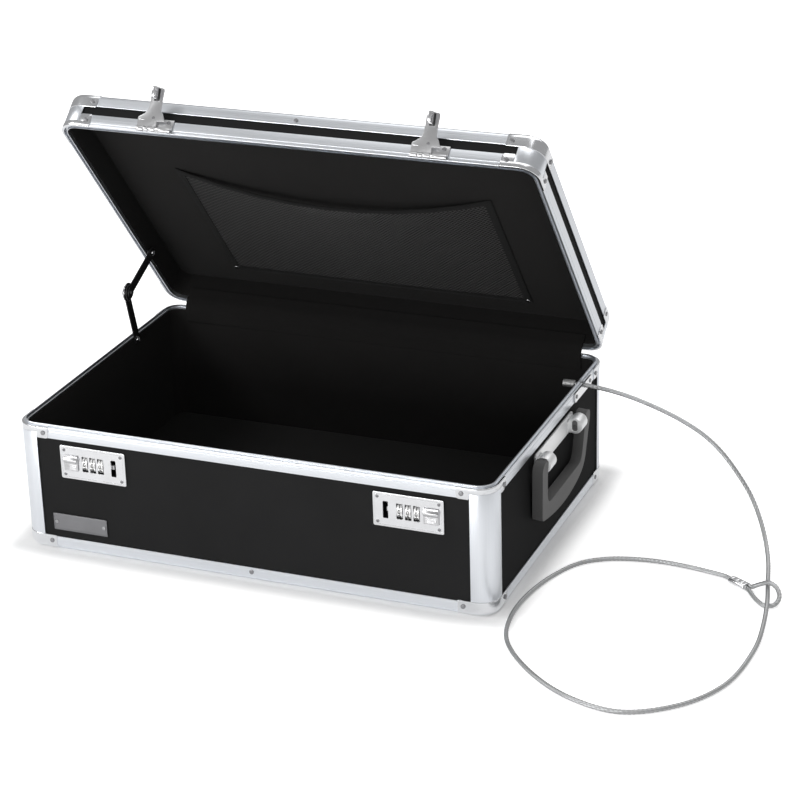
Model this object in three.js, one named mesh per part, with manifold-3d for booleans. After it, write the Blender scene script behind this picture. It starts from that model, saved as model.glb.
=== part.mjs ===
// Portable car safe: an aluminium-edged case with two combination locks and a wire-rope tether.
// Millimetres. +Z up, +X to the right as the front is seen, -Y towards the viewer.
// The origin is the middle of the underside. The lid is shown held open by its stay.
import * as THREE from "three";
import { mergeVertices } from "three/addons/utils/BufferGeometryUtils.js";
import Module from "manifold-3d";

const wasm = await Module();
wasm.setup();

// Pieces of one solid run this far into each other
const bite = 0.5;

// Overall sizes
const caseWidth = 444.5;
const caseDepth = 304.8;
const baseHeight = 118;
const lidHeight = 34.4;
const lidOpenAngle = 50.9; // degrees, where the stay holds the lid
const cornerRadius = 17;
const cornerSteps = 5;

// Wall build-up, measured inwards from the outer face of the aluminium
const skin = 1; // wall of the aluminium extrusions
const fitGap = 0.3;
const panelThickness = 2.7;
const liningThickness = 1.2;
const panelOuter = skin + fitGap;
const panelInner = panelOuter + panelThickness;
const liningOuter = panelInner + fitGap;
const wallInner = liningOuter + liningThickness;

// Aluminium edging
const postFlange = 20.4; // a corner post covers this much of each side
const rimFlange = 10.1;
const bottomFlange = 12.2;
const lidRimFlange = 12.6;
const lidTopFlange = 12.8;
const railInner = wallInner - fitGap;
const webThickness = 1.8;
const tongueOuter = 2.5; // the tongue on the base rim stands in a groove of the lid's rim
const tongueInner = 3.8;
const tongueHeight = 2;
const tongueClearance = 0.6;
const grooveDepth = 0.35;
const grooveWidth = 1.2;
const grooveDrop = 3.2; // from the edge of the rail to its groove
const edgeRadius = 5; // rounding of the bottom and top edges
const edgeSteps = 4;
const edgeFlange = 13; // how far the edging turns under the floor
const bracketProud = 0.6;
const bracketArm = 32;
const rivetFromCorner = 27.2;
const rivetFromEdge = 4.2;
const rivetRadius = 2.3;
const rivetHeight = 0.8;
const rivetSides = 8;
const smallRivetRadius = 1.9; // on the hinges, hasps, locks, name plate and notch plate
const smallRivetHeight = 0.7;

// Floor, lid top and linings
const floorThickness = 3.2;
const padThickness = 1.5;

// Locks
const lockFromEnd = 74.45; // from the end of the case to the lock's middle
const lockBelowRim = 4.45; // from the rim's flange to the lock plate
const lockPlateLength = 63.5;
const lockPlateWidth = 31.5;
const lockPlateThickness = 1.6;
const lockScrewInset = 4.2;
const slotOffset = 20.3; // from the lock's middle, towards the middle of the case
const slotWidth = 4.8;
const slotLength = 15.6;
const dialPitch = 7.6;
const dialCount = 3;
const dialRadius = 7.6;
const dialWidth = 5;
const dialProud = 1.3;
const dialShaftRadius = 1.8;
const dialWindowWidth = 5.8;
const dialWindowHeight = 14.6;
const lockCaseLength = 57;
const lockCaseWidth = 23;
const lockCaseDepth = 15.4;
const lockCaseWall = 1.2;
const bulkheadOffset = 11;
const bulkheadThickness = 1.2;
const slideOffset = 20.9; // from the lock's middle, away from the middle of the case
const slideWidth = 13.6;
const slideLength = 14.4;
const slideTravel = 3.5;
const slideStem = 4;
const slidePlate = 1.2;
const slideRidge = 3.4;
const boltBar = 1.9;
const boltBehind = 0.4; // from the mouth of the lock case to the bolt
const boltLegHalf = 2;
const boltNoseReach = 2.1; // how far the bolt's nose stands into the slot

// Hasps: offsets are from the slot that the hasp's staple enters
const haspOpenAngle = 154;
const haspBarrelRadius = 2.2;
const haspPinRadius = 0.9;
const haspPlate = 1.1;
const haspAxisRise = 1.7; // above the line where the halves meet
const haspLeft = -16;
const haspRight = 17;
const haspRootRight = 2.3;
const haspInsideKnuckle = [-9, -4]; // the fixed knuckle between the two that swing
// The swinging leaf from its left end round to its right, each point with its distance from the axis
const haspOutline = [
  [haspLeft, 1.4], [haspLeft, 9.4], [-15.2, 10.8], [-13, 12.1], [-10.1, 13.9], [-7.6, 16.4], [-6.6, 19],
  [-6, 26], [-6.1, 34.2], [-5.5, 36.2], [-3.8, 37], [4, 37], [5.8, 36.3], [6.3, 34.4], [5.6, 26],
  [5.2, 18], [5.7, 16.2], [7, 14.5], [8.4, 11.6], [9.8, 8], [haspRootRight, 7.6], [haspRootRight, 1.4],
];
const haspLeafRise = 13.6; // top of the fixed leaf above the line where the halves meet
const haspRivets = [-9.5, 12.4];
const haspRivetRise = 10.6;
const haspLeafClear = 1.6; // from the barrels to the edge of the fixed leaf
const staplePlate = 2.8;
const stapleLength = 12.6;
const stapleReach = 9.5;
const stapleCorner = 3;
const stapleRim = 1.8; // from the tip to the eye that the bolt enters
const stapleEyeLength = 3.6;
const stapleEyeHalf = 3.4;
const stapleEyeCorner = 1.2;

// Hinges
const hingeAxisBehind = 4.2;
const hingeFromEnd = 92.25; // from the end of the case to the hinge's middle
const hingeLength = 50;
const hingeLeafHeight = 24;
const hingeLeafPlate = 1.2;
const hingeBarrelRadius = 2.8;
const hingePinRadius = 1.2;
const hingeKnuckles = 5;
const hingeLeafClear = 0.5; // from the barrels to the edge of the other leaf

// Stay on the left side: two equal arms, one pivot on each half of the case
const stayPivotFromHinge = 88.1; // measured forwards from the hinge line
const stayPivotDrop = 4.3; // below and above the line where the halves meet
const stayArmLength = 55;
const stayArmWidth = 7;
const stayArmPlate = 1.2;
const stayEyeRadius = 7.4;
const stayEyeHole = 4.6;
const stayRivetRadius = 2;
const stayDiscRadius = 9;
const stayDiscPlate = 1.4;
const stayEndRadius = 4.3;
const stayHeadRadius = 2.8;
const stayHeadPlate = 1;

// Handle on the right side
const handleMiddle = 6.5;
const handleBelowRim = 4.4; // from the rim's flange to the top of the strap
const handleBelowStrap = 8.9; // pivot below the top of the strap
const handleStand = 7.4; // from the side to the middle of the barrels
const handleBarrelRadius = 7.2;
const handleBarrelRise = 0.8; // middle of the barrels above the pivot
const handleBarrelLength = 15.2;
const handleBarrelMiddle = 43.4;
const handleStrapHeight = 16.5;
const handleStrapPlate = 1.8;
const handleStrapChamfer = 2;
const handleSlotWidth = 4.6;
const handleSlotLength = 8.2;
const handleWebLow = 5; // the web behind each barrel, below and above the pivot
const handleWebHigh = 2.4;
const handlePinRadius = 1.9;
const gripThickness = 9.4;
const gripLegWidth = 14.6;
const gripEarTop = 7.9; // above the pivot
const gripEarRadius = 8;
const gripEarInnerRadius = 5;
const gripLegBend = 9; // below the pivot, where the inner edge starts to lean
const gripDrop = 56.6; // from the pivot to the lowest edge
const gripBow = 24; // reach of the hand bar's curve from its middle
const gripBevel = 2.4;
const gripHang = 3; // degrees that the hand bar leans in towards the side
// Corners of the grip seen from the side, each point measured back and up from the pivot
const gripFrontCorner = [[-60.5, -43], [-60, -49.4], [-54, -49.9]];
const gripBackCorner = [[42, -50.8], [55, -47.5], [58.8, -36]];
const gripInnerCorner = [[48.6, -26], [47.5, -36.8], [38, -37.4]];

// Name plate, left bare
const namePlateLength = 53;
const namePlateWidth = 16;
const namePlatePlate = 1.2;
const namePlateFromEnd = 56.85; // from the end of the case to the plate's middle
const namePlateAboveEdging = 7.4;
const namePlateRivet = 23.4;

// Net pocket under the lid
const netFromEnd = 70.25;
const netFromFront = 100.4;
const netFromBack = 29.4;
const netThickness = 1;
const netColumns = 14;
const netRows = 7;
const netHem = 7;
const netString = 3;
const netSag = 11;
const netDip = 22; // the open edge hangs back by this much in the middle

// Strip of lining over the hinge line
const stripFromEnd = 20.25;
const stripThickness = 1;
const stripReach = 13;
const stripFold = 1.4;

// Tether
const ropeRadius = 2;
const ropeSides = 8;
const ropeSteps = 78;
const notchFromBack = 62.4; // from the back of the case to the middle of the notch
const notchWidth = 5.2;
const notchDepth = 5.5;
const ropeDrop = 3; // centre of the rope below the top of the base
const ropeInside = 2; // the rope starts this far inside the lining
const eyeGap = 0.4; // between the eye's two ends, each way from the middle
const eyeLead = 2.6; // straight length of the eye at the ferrule
const eyeSteps = 24;
const stopLength = 11;
const stopRadius = 3.3;
const notchPlateAhead = 27; // from the middle of the notch to the plate's front end
const notchPlateBehind = 21;
const notchPlatePlate = 1;
const notchPlateInset = 0.8; // below the top of the rim
const notchPlateFoot = 0.4;
const notchPlateRivetInset = 4.6;
const ferruleLength = 18;
const ferruleWidth = 9.6;
const ferruleHeight = 5.6;

// Places worked out from the sizes above
const halfWidth = caseWidth / 2;
const halfDepth = caseDepth / 2;
const closedTop = baseHeight + lidHeight;
const hingeY = halfDepth + hingeAxisBehind;
const faceFront = -halfDepth;
const lockFromMiddle = halfWidth - lockFromEnd;
const lockHeight = baseHeight - rimFlange - lockBelowRim - lockPlateWidth / 2;
const hingeFromMiddle = halfWidth - hingeFromEnd;
const handleStrapTop = baseHeight - rimFlange - handleBelowRim;
const handleHeight = handleStrapTop - handleBelowStrap;
const namePlateFromMiddle = halfWidth - namePlateFromEnd;
const namePlateHeight = bottomFlange + namePlateAboveEdging + namePlateWidth / 2;
const netHalfWidth = halfWidth - netFromEnd;
const notchMiddle = halfDepth - notchFromBack;
const degrees = Math.PI / 180;

const aluminium = { color: 0xdfe3e8, roughness: 0.32, metalness: 0.85 };
const chrome = { color: 0xd9dcdf, roughness: 0.14, metalness: 1 };
const blackSkin = { color: 0x1d1e1f, roughness: 0.5, metalness: 0 };
const felt = { color: 0x161516, roughness: 0.95, metalness: 0 };
const darkSteel = { color: 0x1b1b1c, roughness: 0.45, metalness: 0.6 };
const ropeSteel = { color: 0x9a9c9e, roughness: 0.4, metalness: 0.9 };
const gripPlastic = { color: 0x5c5d5f, roughness: 0.42, metalness: 0 };

function toSolid(geometry) {
  const bare = new THREE.BufferGeometry();
  bare.setAttribute("position", geometry.getAttribute("position").clone());
  if (geometry.index) bare.setIndex(geometry.index.clone());
  const merged = mergeVertices(bare, 1e-4);
  return new wasm.Manifold(new wasm.Mesh({
    numProp: 3,
    vertProperties: new Float32Array(merged.getAttribute("position").array),
    triVerts: new Uint32Array(merged.index.array),
  }));
}

function toGeometry(solid) {
  const mesh = solid.getMesh();
  const geometry = new THREE.BufferGeometry();
  geometry.setAttribute("position", new THREE.BufferAttribute(new Float32Array(mesh.vertProperties), 3));
  geometry.setIndex(new THREE.BufferAttribute(new Uint32Array(mesh.triVerts), 1));
  return geometry;
}

function join(...pieces) {
  return toGeometry(pieces.map(toSolid).reduce((sum, piece) => sum.add(piece)));
}

function cut(body, ...tools) {
  return toGeometry(tools.map(toSolid).reduce((rest, tool) => rest.subtract(tool), toSolid(body)));
}

function place(geometry, x, y, z, turnX = 0, turnY = 0, turnZ = 0) {
  const matrix = new THREE.Matrix4().makeRotationFromEuler(
    new THREE.Euler(turnX * degrees, turnY * degrees, turnZ * degrees));
  matrix.setPosition(x, y, z);
  return geometry.clone().applyMatrix4(matrix);
}

function block(x0, x1, y0, y1, z0, z1) {
  const box = new THREE.BoxGeometry(x1 - x0, y1 - y0, z1 - z0);
  return place(box, (x0 + x1) / 2, (y0 + y1) / 2, (z0 + z1) / 2);
}

// A cylinder whose axis runs along x, y or z from one coordinate to another
function rod(axis, radius, from, to, sides, a, b) {
  const round = new THREE.CylinderGeometry(radius, radius, to - from, sides);
  const middle = (from + to) / 2;
  if (axis === "x") return place(round, middle, a, b, 0, 0, 90);
  if (axis === "y") return place(round, a, middle, b);
  return place(round, a, b, middle, 90);
}

function outline(points) {
  return new THREE.Shape(points.map(([x, y]) => new THREE.Vector2(x, y)));
}

// A plate cut from a shape drawn in plan, from height z0 to z1
function plate(shape, z0, z1, curveSegments = 3) {
  const depth = z1 - z0;
  const solid = new THREE.ExtrudeGeometry(shape, { depth, bevelEnabled: false, curveSegments });
  return place(solid, 0, 0, z0);
}

// A plate cut from a shape drawn as seen from the front: shape x is x, shape y is z
function frontPlate(shape, yFront, yBack, curveSegments = 2) {
  const depth = yBack - yFront;
  const solid = new THREE.ExtrudeGeometry(shape, { depth, bevelEnabled: false, curveSegments });
  return place(solid, 0, yBack, 0, 90);
}

// A plate cut from a shape drawn as seen from the right: shape x is y, shape y is z
function sidePlate(shape, x0, x1, curveSegments = 3) {
  const depth = x1 - x0;
  const solid = new THREE.ExtrudeGeometry(shape, { depth, bevelEnabled: false, curveSegments });
  return seenFromRight(solid, x0);
}

function seenFromRight(geometry, x) {
  const turn = new THREE.Matrix4().makeBasis(
    new THREE.Vector3(0, 1, 0), new THREE.Vector3(0, 0, 1), new THREE.Vector3(1, 0, 0));
  turn.setPosition(x, 0, 0);
  return geometry.applyMatrix4(turn);
}

function roundedRectangle(x0, x1, y0, y1, radius) {
  const shape = new THREE.Shape();
  shape.moveTo(x0 + radius, y0);
  shape.lineTo(x1 - radius, y0);
  shape.absarc(x1 - radius, y0 + radius, radius, -Math.PI / 2, 0);
  shape.lineTo(x1, y1 - radius);
  shape.absarc(x1 - radius, y1 - radius, radius, 0, Math.PI / 2);
  shape.lineTo(x0 + radius, y1);
  shape.absarc(x0 + radius, y1 - radius, radius, Math.PI / 2, Math.PI);
  shape.lineTo(x0, y0 + radius);
  shape.absarc(x0 + radius, y0 + radius, radius, Math.PI, Math.PI * 1.5);
  return shape;
}

// The case's plan drawn `inset` inside its outer face
function planOutline(inset) {
  return roundedRectangle(-halfWidth + inset, halfWidth - inset, -halfDepth + inset, halfDepth - inset,
    cornerRadius - inset);
}

// Stations along the outer face: a place and the way out of the case there
function cornerStations(signX, signY, straight = 0) {
  const centre = new THREE.Vector3(
    signX * (halfWidth - cornerRadius), signY * (halfDepth - cornerRadius), 0);
  const start = Math.atan2(signY, signX) - Math.PI / 4;
  const stations = [];
  for (let step = 0; step <= cornerSteps; step += 1) {
    const angle = start + (step / cornerSteps) * (Math.PI / 2);
    const out = new THREE.Vector3(Math.cos(angle), Math.sin(angle), 0);
    stations.push({ point: centre.clone().addScaledVector(out, cornerRadius), out });
  }
  if (straight > 0) {
    const first = stations[0];
    const last = stations[stations.length - 1];
    const back = new THREE.Vector3(first.out.y, -first.out.x, 0);
    const on = new THREE.Vector3(-last.out.y, last.out.x, 0);
    stations.unshift({ point: first.point.clone().addScaledVector(back, straight), out: first.out });
    stations.push({ point: last.point.clone().addScaledVector(on, straight), out: last.out });
  }
  return stations;
}

function ringStations() {
  return [[1, 1], [-1, 1], [-1, -1], [1, -1]].flatMap(([signX, signY]) => cornerStations(signX, signY));
}

// Sweeps a section along stations. A section point is (inwards from the outer face, up).
function sweep(section, stations, closed, height) {
  const positions = [];
  for (const { point, out } of stations) {
    for (const [inwards, up] of section) {
      positions.push(point.x - out.x * inwards, point.y - out.y * inwards, height + up);
    }
  }
  const count = section.length;
  const rings = stations.length;
  const index = [];
  for (let ring = 0; ring < (closed ? rings : rings - 1); ring += 1) {
    const next = (ring + 1) % rings;
    for (let side = 0; side < count; side += 1) {
      const other = (side + 1) % count;
      const a = ring * count + side;
      const b = ring * count + other;
      const c = next * count + other;
      const d = next * count + side;
      index.push(a, b, c, a, c, d);
    }
  }
  if (!closed) {
    const faces = THREE.ShapeUtils.triangulateShape(section.map(([x, y]) => new THREE.Vector2(x, y)), []);
    const clockwise = THREE.ShapeUtils.isClockWise(section.map(([x, y]) => new THREE.Vector2(x, y)));
    const last = (rings - 1) * count;
    for (const [a, b, c] of faces) {
      const near = clockwise ? [a, b, c] : [a, c, b];
      index.push(...near);
      index.push(last + near[0], last + near[2], last + near[1]);
    }
  }
  const geometry = new THREE.BufferGeometry();
  geometry.setAttribute("position", new THREE.Float32BufferAttribute(positions, 3));
  geometry.setIndex(index);
  return facingOut(geometry);
}

// Turns a closed mesh the right way out, by the sign of its volume
function facingOut(geometry) {
  const at = geometry.getAttribute("position");
  const index = geometry.index.array;
  const [a, b, c] = [new THREE.Vector3(), new THREE.Vector3(), new THREE.Vector3()];
  let volume = 0;
  for (let corner = 0; corner < index.length; corner += 3) {
    a.fromBufferAttribute(at, index[corner]);
    b.fromBufferAttribute(at, index[corner + 1]);
    c.fromBufferAttribute(at, index[corner + 2]);
    volume += a.dot(b.cross(c));
  }
  if (volume > 0) return geometry;
  const turned = Array.from(index);
  for (let corner = 0; corner < turned.length; corner += 3) {
    [turned[corner + 1], turned[corner + 2]] = [turned[corner + 2], turned[corner + 1]];
  }
  geometry.setIndex(turned);
  return geometry;
}

// A domed rivet head, its seat at the origin and its head towards +Z
function rivetHead(radius = rivetRadius, height = rivetHeight, seat = bite) {
  const profile = [[0, -seat], [radius, -seat], [radius * 0.7, height], [0, height]];
  return new THREE.LatheGeometry(profile.map(([x, y]) => new THREE.Vector2(x, y)), rivetSides)
    .rotateX(Math.PI / 2);
}

// The same head set on one of the four outer faces, `along` it and at height z
function rivetOn(face, along, z, proud) {
  const head = rivetHead();
  if (face === "front") return place(head, along, -halfDepth - proud, z, 90);
  if (face === "back") return place(head, along, halfDepth + proud, z, -90);
  if (face === "left") return place(head, -halfWidth - proud, along, z, 0, -90);
  return place(head, halfWidth + proud, along, z, 0, 90);
}

const group = new THREE.Group();
const lid = new THREE.Group();
lid.position.set(0, hingeY, baseHeight);
lid.rotation.x = -lidOpenAngle * degrees;
const lidShell = new THREE.Group(); // pieces of the lid are drawn where they are with the lid shut
lidShell.position.set(0, -hingeY, -baseHeight);
lid.add(lidShell);
group.add(lid);

function add(name, geometry, finish, parent = group) {
  const mesh = new THREE.Mesh(geometry, new THREE.MeshStandardMaterial(finish));
  mesh.name = name;
  parent.add(mesh);
  return mesh;
}

// Sections of the aluminium edging
function grooved(edge, direction) {
  const top = edge + direction * grooveDrop;
  const floor = top + direction * grooveWidth;
  const slope = direction * grooveDepth;
  return [[0, top], [grooveDepth, top + slope], [grooveDepth, floor - slope], [0, floor]];
}

const rimSection = [
  [skin, -rimFlange], [0, -rimFlange], ...grooved(0, -1).reverse(), [0, -1.2], [0.5, -0.4], [1.3, 0],
  [tongueOuter, 0], [tongueOuter, tongueHeight], [tongueInner, tongueHeight], [tongueInner, 0],
  [railInner, -0.4], [railInner, -webThickness], [skin, -webThickness],
];

const grooveRoof = tongueHeight + tongueClearance;
const lidRimSection = [
  [skin, lidRimFlange], [0, lidRimFlange], ...grooved(fitGap, 1).reverse(), [0, fitGap + 0.8],
  [0.6, fitGap], [tongueOuter - tongueClearance, fitGap], [tongueOuter - tongueClearance, grooveRoof],
  [tongueInner + tongueClearance, grooveRoof], [tongueInner + tongueClearance, fitGap],
  [railInner, fitGap], [railInner, grooveRoof + webThickness], [skin, grooveRoof + webThickness],
];

// An edge that turns under the floor, or over the lid when direction is -1; flange is its height
function edgeSection(flange, direction, outside = 0, reach = edgeFlange) {
  const points = [];
  for (let step = 0; step <= edgeSteps; step += 1) {
    const angle = (step / edgeSteps) * (Math.PI / 2);
    const radius = edgeRadius + outside;
    points.push([edgeRadius - radius * Math.cos(angle), Math.max(edgeRadius - radius * Math.sin(angle), 0)]);
  }
  points.push([reach, 0], [reach, skin]);
  for (let step = edgeSteps; step >= 0; step -= 1) {
    const angle = (step / edgeSteps) * (Math.PI / 2);
    const radius = edgeRadius - skin;
    points.push([edgeRadius - radius * Math.cos(angle), edgeRadius - radius * Math.sin(angle)]);
  }
  points.push([skin, flange], [-outside, flange]);
  return points.map(([inwards, up]) => [inwards, up * direction]);
}

const cornerSigns = [[1, 1], [-1, 1], [-1, -1], [1, -1]];

// A rail all round, with its four corner brackets and the rivets that hold them
function frameWithBrackets(section, bracketSection, height, rivetZ, middleRivets) {
  const pieces = [sweep(section, ringStations(), true, height)];
  for (const [signX, signY] of cornerSigns) {
    const stations = cornerStations(signX, signY, bracketArm - cornerRadius);
    pieces.push(sweep(bracketSection, stations, false, height));
    const alongX = signX * (halfWidth - rivetFromCorner);
    const alongY = signY * (halfDepth - rivetFromCorner);
    pieces.push(rivetOn(signY > 0 ? "back" : "front", alongX, rivetZ, bracketProud));
    pieces.push(rivetOn(signX > 0 ? "right" : "left", alongY, rivetZ, bracketProud));
  }
  for (const face of middleRivets) pieces.push(rivetOn(face, 0, rivetZ, 0));
  return join(...pieces);
}

function notchTool(depth) {
  const bottom = baseHeight - depth;
  const round = rod("x", notchWidth / 2, halfWidth - wallInner - 2, halfWidth + 4, 12,
    notchMiddle, bottom + notchWidth / 2);
  const slot = block(halfWidth - wallInner - 2, halfWidth + 4, notchMiddle - notchWidth / 2,
    notchMiddle + notchWidth / 2, bottom + notchWidth / 2, baseHeight + tongueHeight + 2);
  return join(round, slot);
}

function baseFrames() {
  const flat = [[-bracketProud, -rimFlange], [-bracketProud, -0.6], [bite, -0.6],
    [bite, -rimFlange]];
  const rim = frameWithBrackets(rimSection, flat, baseHeight, baseHeight - rimFlange / 2, []);
  add("base_rim_frame", cut(rim, notchTool(notchDepth)), aluminium);
  const bottom = frameWithBrackets(edgeSection(bottomFlange, 1),
    edgeSection(bottomFlange, 1, bracketProud, edgeRadius + 2), 0, bottomFlange - rivetFromEdge,
    ["front", "back"]);
  add("base_bottom_frame", bottom, aluminium);
}

function lidFrames() {
  const flat = [[-bracketProud, fitGap + 0.6], [-bracketProud, lidRimFlange], [bite, lidRimFlange],
    [bite, fitGap + 0.6]];
  const rim = frameWithBrackets(lidRimSection, flat, baseHeight, baseHeight + lidRimFlange / 2, []);
  add("lid_rim_frame", rim, aluminium, lidShell);
  const top = frameWithBrackets(edgeSection(lidTopFlange, -1),
    edgeSection(lidTopFlange, -1, bracketProud, edgeRadius + 2), closedTop,
    closedTop - lidTopFlange + rivetFromEdge, ["front", "back"]);
  add("lid_top_frame", top, aluminium, lidShell);
}

// A corner post: an aluminium skin round the corner over a core that the panels butt against
function cornerPost(signX, signY, skinFrom, skinTo, coreFrom, coreTo) {
  const outer = cornerStations(signX, signY, postFlange - cornerRadius);
  const core = cornerStations(signX, signY);
  const strip = (stations, from, to, low, high) => sweep(
    [[from, low], [to, low], [to, high], [from, high]], stations, false, 0);
  return join(
    strip(outer, 0, skin, skinFrom, skinTo),
    strip(core, skin - bite, panelInner, skinFrom, skinTo),
    strip(core, panelOuter, panelInner, coreFrom, coreTo));
}

const cornerNames = {
  "1,1": "back_right", "-1,1": "back_left", "-1,-1": "front_left", "1,-1": "front_right",
};

function cornerPosts() {
  for (const [signX, signY] of cornerSigns) {
    const name = cornerNames[`${signX},${signY}`];
    const basePost = cornerPost(signX, signY, bottomFlange + fitGap, baseHeight - rimFlange - fitGap,
      edgeRadius + fitGap, baseHeight - webThickness - fitGap);
    add(`base_corner_post_${name}`, basePost, aluminium);
    const lidPost = cornerPost(signX, signY, baseHeight + lidRimFlange + fitGap,
      closedTop - lidTopFlange - fitGap, baseHeight + grooveRoof + webThickness + fitGap,
      closedTop - edgeRadius - fitGap);
    add(`lid_corner_post_${name}`, lidPost, aluminium, lidShell);
  }
}

// One wall panel between two corner posts
function wallPanel(face, z0, z1) {
  const end = cornerRadius + fitGap;
  if (face === "front") {
    return block(-halfWidth + end, halfWidth - end, -halfDepth + panelOuter, -halfDepth + panelInner, z0, z1);
  }
  if (face === "back") {
    return block(-halfWidth + end, halfWidth - end, halfDepth - panelInner, halfDepth - panelOuter, z0, z1);
  }
  if (face === "left") {
    return block(-halfWidth + panelOuter, -halfWidth + panelInner, -halfDepth + end, halfDepth - end, z0, z1);
  }
  return block(halfWidth - panelInner, halfWidth - panelOuter, -halfDepth + end, halfDepth - end, z0, z1);
}

// The opening through the front wall behind each lock plate
function lockOpening(side) {
  const middle = side * lockFromMiddle;
  const halfLength = lockCaseLength / 2 + fitGap;
  const halfHeight = lockCaseWidth / 2 + fitGap;
  return block(middle - halfLength, middle + halfLength, -halfDepth, -halfDepth + wallInner + 3,
    lockHeight - halfHeight, lockHeight + halfHeight);
}

function walls() {
  const baseFrom = edgeRadius + fitGap;
  const baseTo = baseHeight - webThickness - fitGap;
  const lidFrom = baseHeight + grooveRoof + webThickness + fitGap;
  const lidTo = closedTop - edgeRadius - fitGap;
  for (const face of ["front", "back", "left", "right"]) {
    let panel = wallPanel(face, baseFrom, baseTo);
    if (face === "front") panel = cut(panel, lockOpening(-1), lockOpening(1));
    if (face === "right") panel = cut(panel, notchTool(notchDepth));
    add(`base_${face}_panel`, panel, blackSkin);
    add(`lid_${face}_panel`, wallPanel(face, lidFrom, lidTo), blackSkin, lidShell);
  }
}

// The floor and the lid's top: a panel stepped at its border, where the edging laps over it
function floorAndTop() {
  const border = planOutline(panelInner + fitGap);
  const middle = planOutline(edgeFlange + fitGap);
  const inner = skin + fitGap;
  const thick = inner + floorThickness;
  const floor = join(plate(border, inner, thick), plate(middle, 0, inner + bite));
  add("base_floor_panel", floor, blackSkin);
  const top = join(plate(border, closedTop - thick, closedTop - inner),
    plate(middle, closedTop - inner - bite, closedTop));
  add("lid_top_panel", top, blackSkin, lidShell);
}

function linings() {
  const thick = skin + fitGap + floorThickness;
  const padPlan = planOutline(wallInner + fitGap);
  const wallPlan = planOutline(liningOuter);
  wallPlan.holes.push(planOutline(wallInner));
  add("base_floor_lining", plate(padPlan, thick + fitGap, thick + fitGap + padThickness), felt);
  const baseWall = plate(wallPlan, thick + fitGap, baseHeight - webThickness - fitGap);
  add("base_wall_lining", cut(baseWall, lockOpening(-1), lockOpening(1), notchTool(notchDepth)), felt);
  const lidPad = closedTop - thick - fitGap;
  add("lid_top_lining", plate(padPlan, lidPad - padThickness, lidPad), felt, lidShell);
  const lidWall = plate(wallPlan, baseHeight + grooveRoof + webThickness + fitGap, lidPad);
  add("lid_wall_lining", lidWall, felt, lidShell);
}

// The strip of lining that covers the hinge line inside, from the back wall into the lid
function hingeStrip() {
  const halfLength = halfWidth - stripFromEnd;
  const face = halfDepth - wallInner - fitGap;
  const inside = face - stripThickness;
  const turn = lidOpenAngle * degrees;
  const inLid = (y, z) => {
    const dy = y - hingeY;
    const dz = z - baseHeight;
    return [hingeY + dy * Math.cos(turn) + dz * Math.sin(turn),
      baseHeight - dy * Math.sin(turn) + dz * Math.cos(turn)];
  };
  const shape = outline([
    [face, baseHeight - stripReach], [face, baseHeight + stripThickness], inLid(face, baseHeight),
    inLid(face, baseHeight + stripReach), inLid(inside, baseHeight + stripReach), inLid(inside, baseHeight),
    [inside, baseHeight + stripFold], [inside, baseHeight - stripReach],
  ]);
  add("hinge_line_lining", sidePlate(shape, -halfLength, halfLength), felt);
}

// Butt hinges on the back: the base leaf carries the pin
function hingeLeaf(middle, isBase) {
  const direction = isBase ? -1 : 1;
  const front = halfDepth + fitGap;
  const back = front + hingeLeafPlate;
  const clear = hingeBarrelRadius + hingeLeafClear;
  const near = baseHeight + direction * clear;
  const far = baseHeight + direction * hingeLeafHeight;
  const pieces = [block(middle - hingeLength / 2, middle + hingeLength / 2, front, back,
    Math.min(near, far), Math.max(near, far))];
  const step = hingeLength / hingeKnuckles;
  const barrels = [];
  for (let knuckle = isBase ? 0 : 1; knuckle < hingeKnuckles; knuckle += 2) {
    const from = middle - hingeLength / 2 + knuckle * step + (knuckle === 0 ? 0 : fitGap / 2);
    const to = middle - hingeLength / 2 + (knuckle + 1) * step
      - (knuckle === hingeKnuckles - 1 ? 0 : fitGap / 2);
    const edge = baseHeight + direction * (clear + bite);
    pieces.push(block(from, to, front, back, Math.min(baseHeight, edge), Math.max(baseHeight, edge)));
    barrels.push([from, to]);
  }
  for (const [from, to] of barrels) {
    pieces.push(rod("x", hingeBarrelRadius, from, to, 14, hingeY, baseHeight));
  }
  for (const across of [-0.34, 0.34]) {
    for (const up of [0.42, 0.78]) {
      pieces.push(place(rivetHead(smallRivetRadius, smallRivetHeight), middle + across * hingeLength, back,
        baseHeight + direction * up * hingeLeafHeight, -90));
    }
  }
  const leaf = join(...pieces);
  const ends = [middle - hingeLength / 2, middle + hingeLength / 2];
  if (isBase) return join(leaf, rod("x", hingePinRadius, ends[0], ends[1], 10, hingeY, baseHeight));
  return cut(leaf, rod("x", hingePinRadius + fitGap, ends[0] - 1, ends[1] + 1, 12, hingeY, baseHeight));
}

function hinges() {
  for (const [name, side] of [["left", -1], ["right", 1]]) {
    add(`hinge_${name}_base_leaf`, hingeLeaf(side * hingeFromMiddle, true), chrome);
    add(`hinge_${name}_lid_leaf`, hingeLeaf(side * hingeFromMiddle, false), chrome, lidShell);
  }
}

// Hasps: a fixed leaf riveted to the lid's rim, and a swinging leaf whose staple enters the lock
const haspAxisY = faceFront - fitGap - haspBarrelRadius;
const haspAxisZ = baseHeight + haspAxisRise;
const [haspFirstEnd, haspSecondStart] = haspInsideKnuckle;
const haspKnuckles = [[haspLeft, haspFirstEnd, false],
  [haspFirstEnd + fitGap, haspSecondStart - fitGap, true],
  [haspSecondStart, haspRootRight, false], [haspRootRight + fitGap, haspRight, true]];

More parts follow.
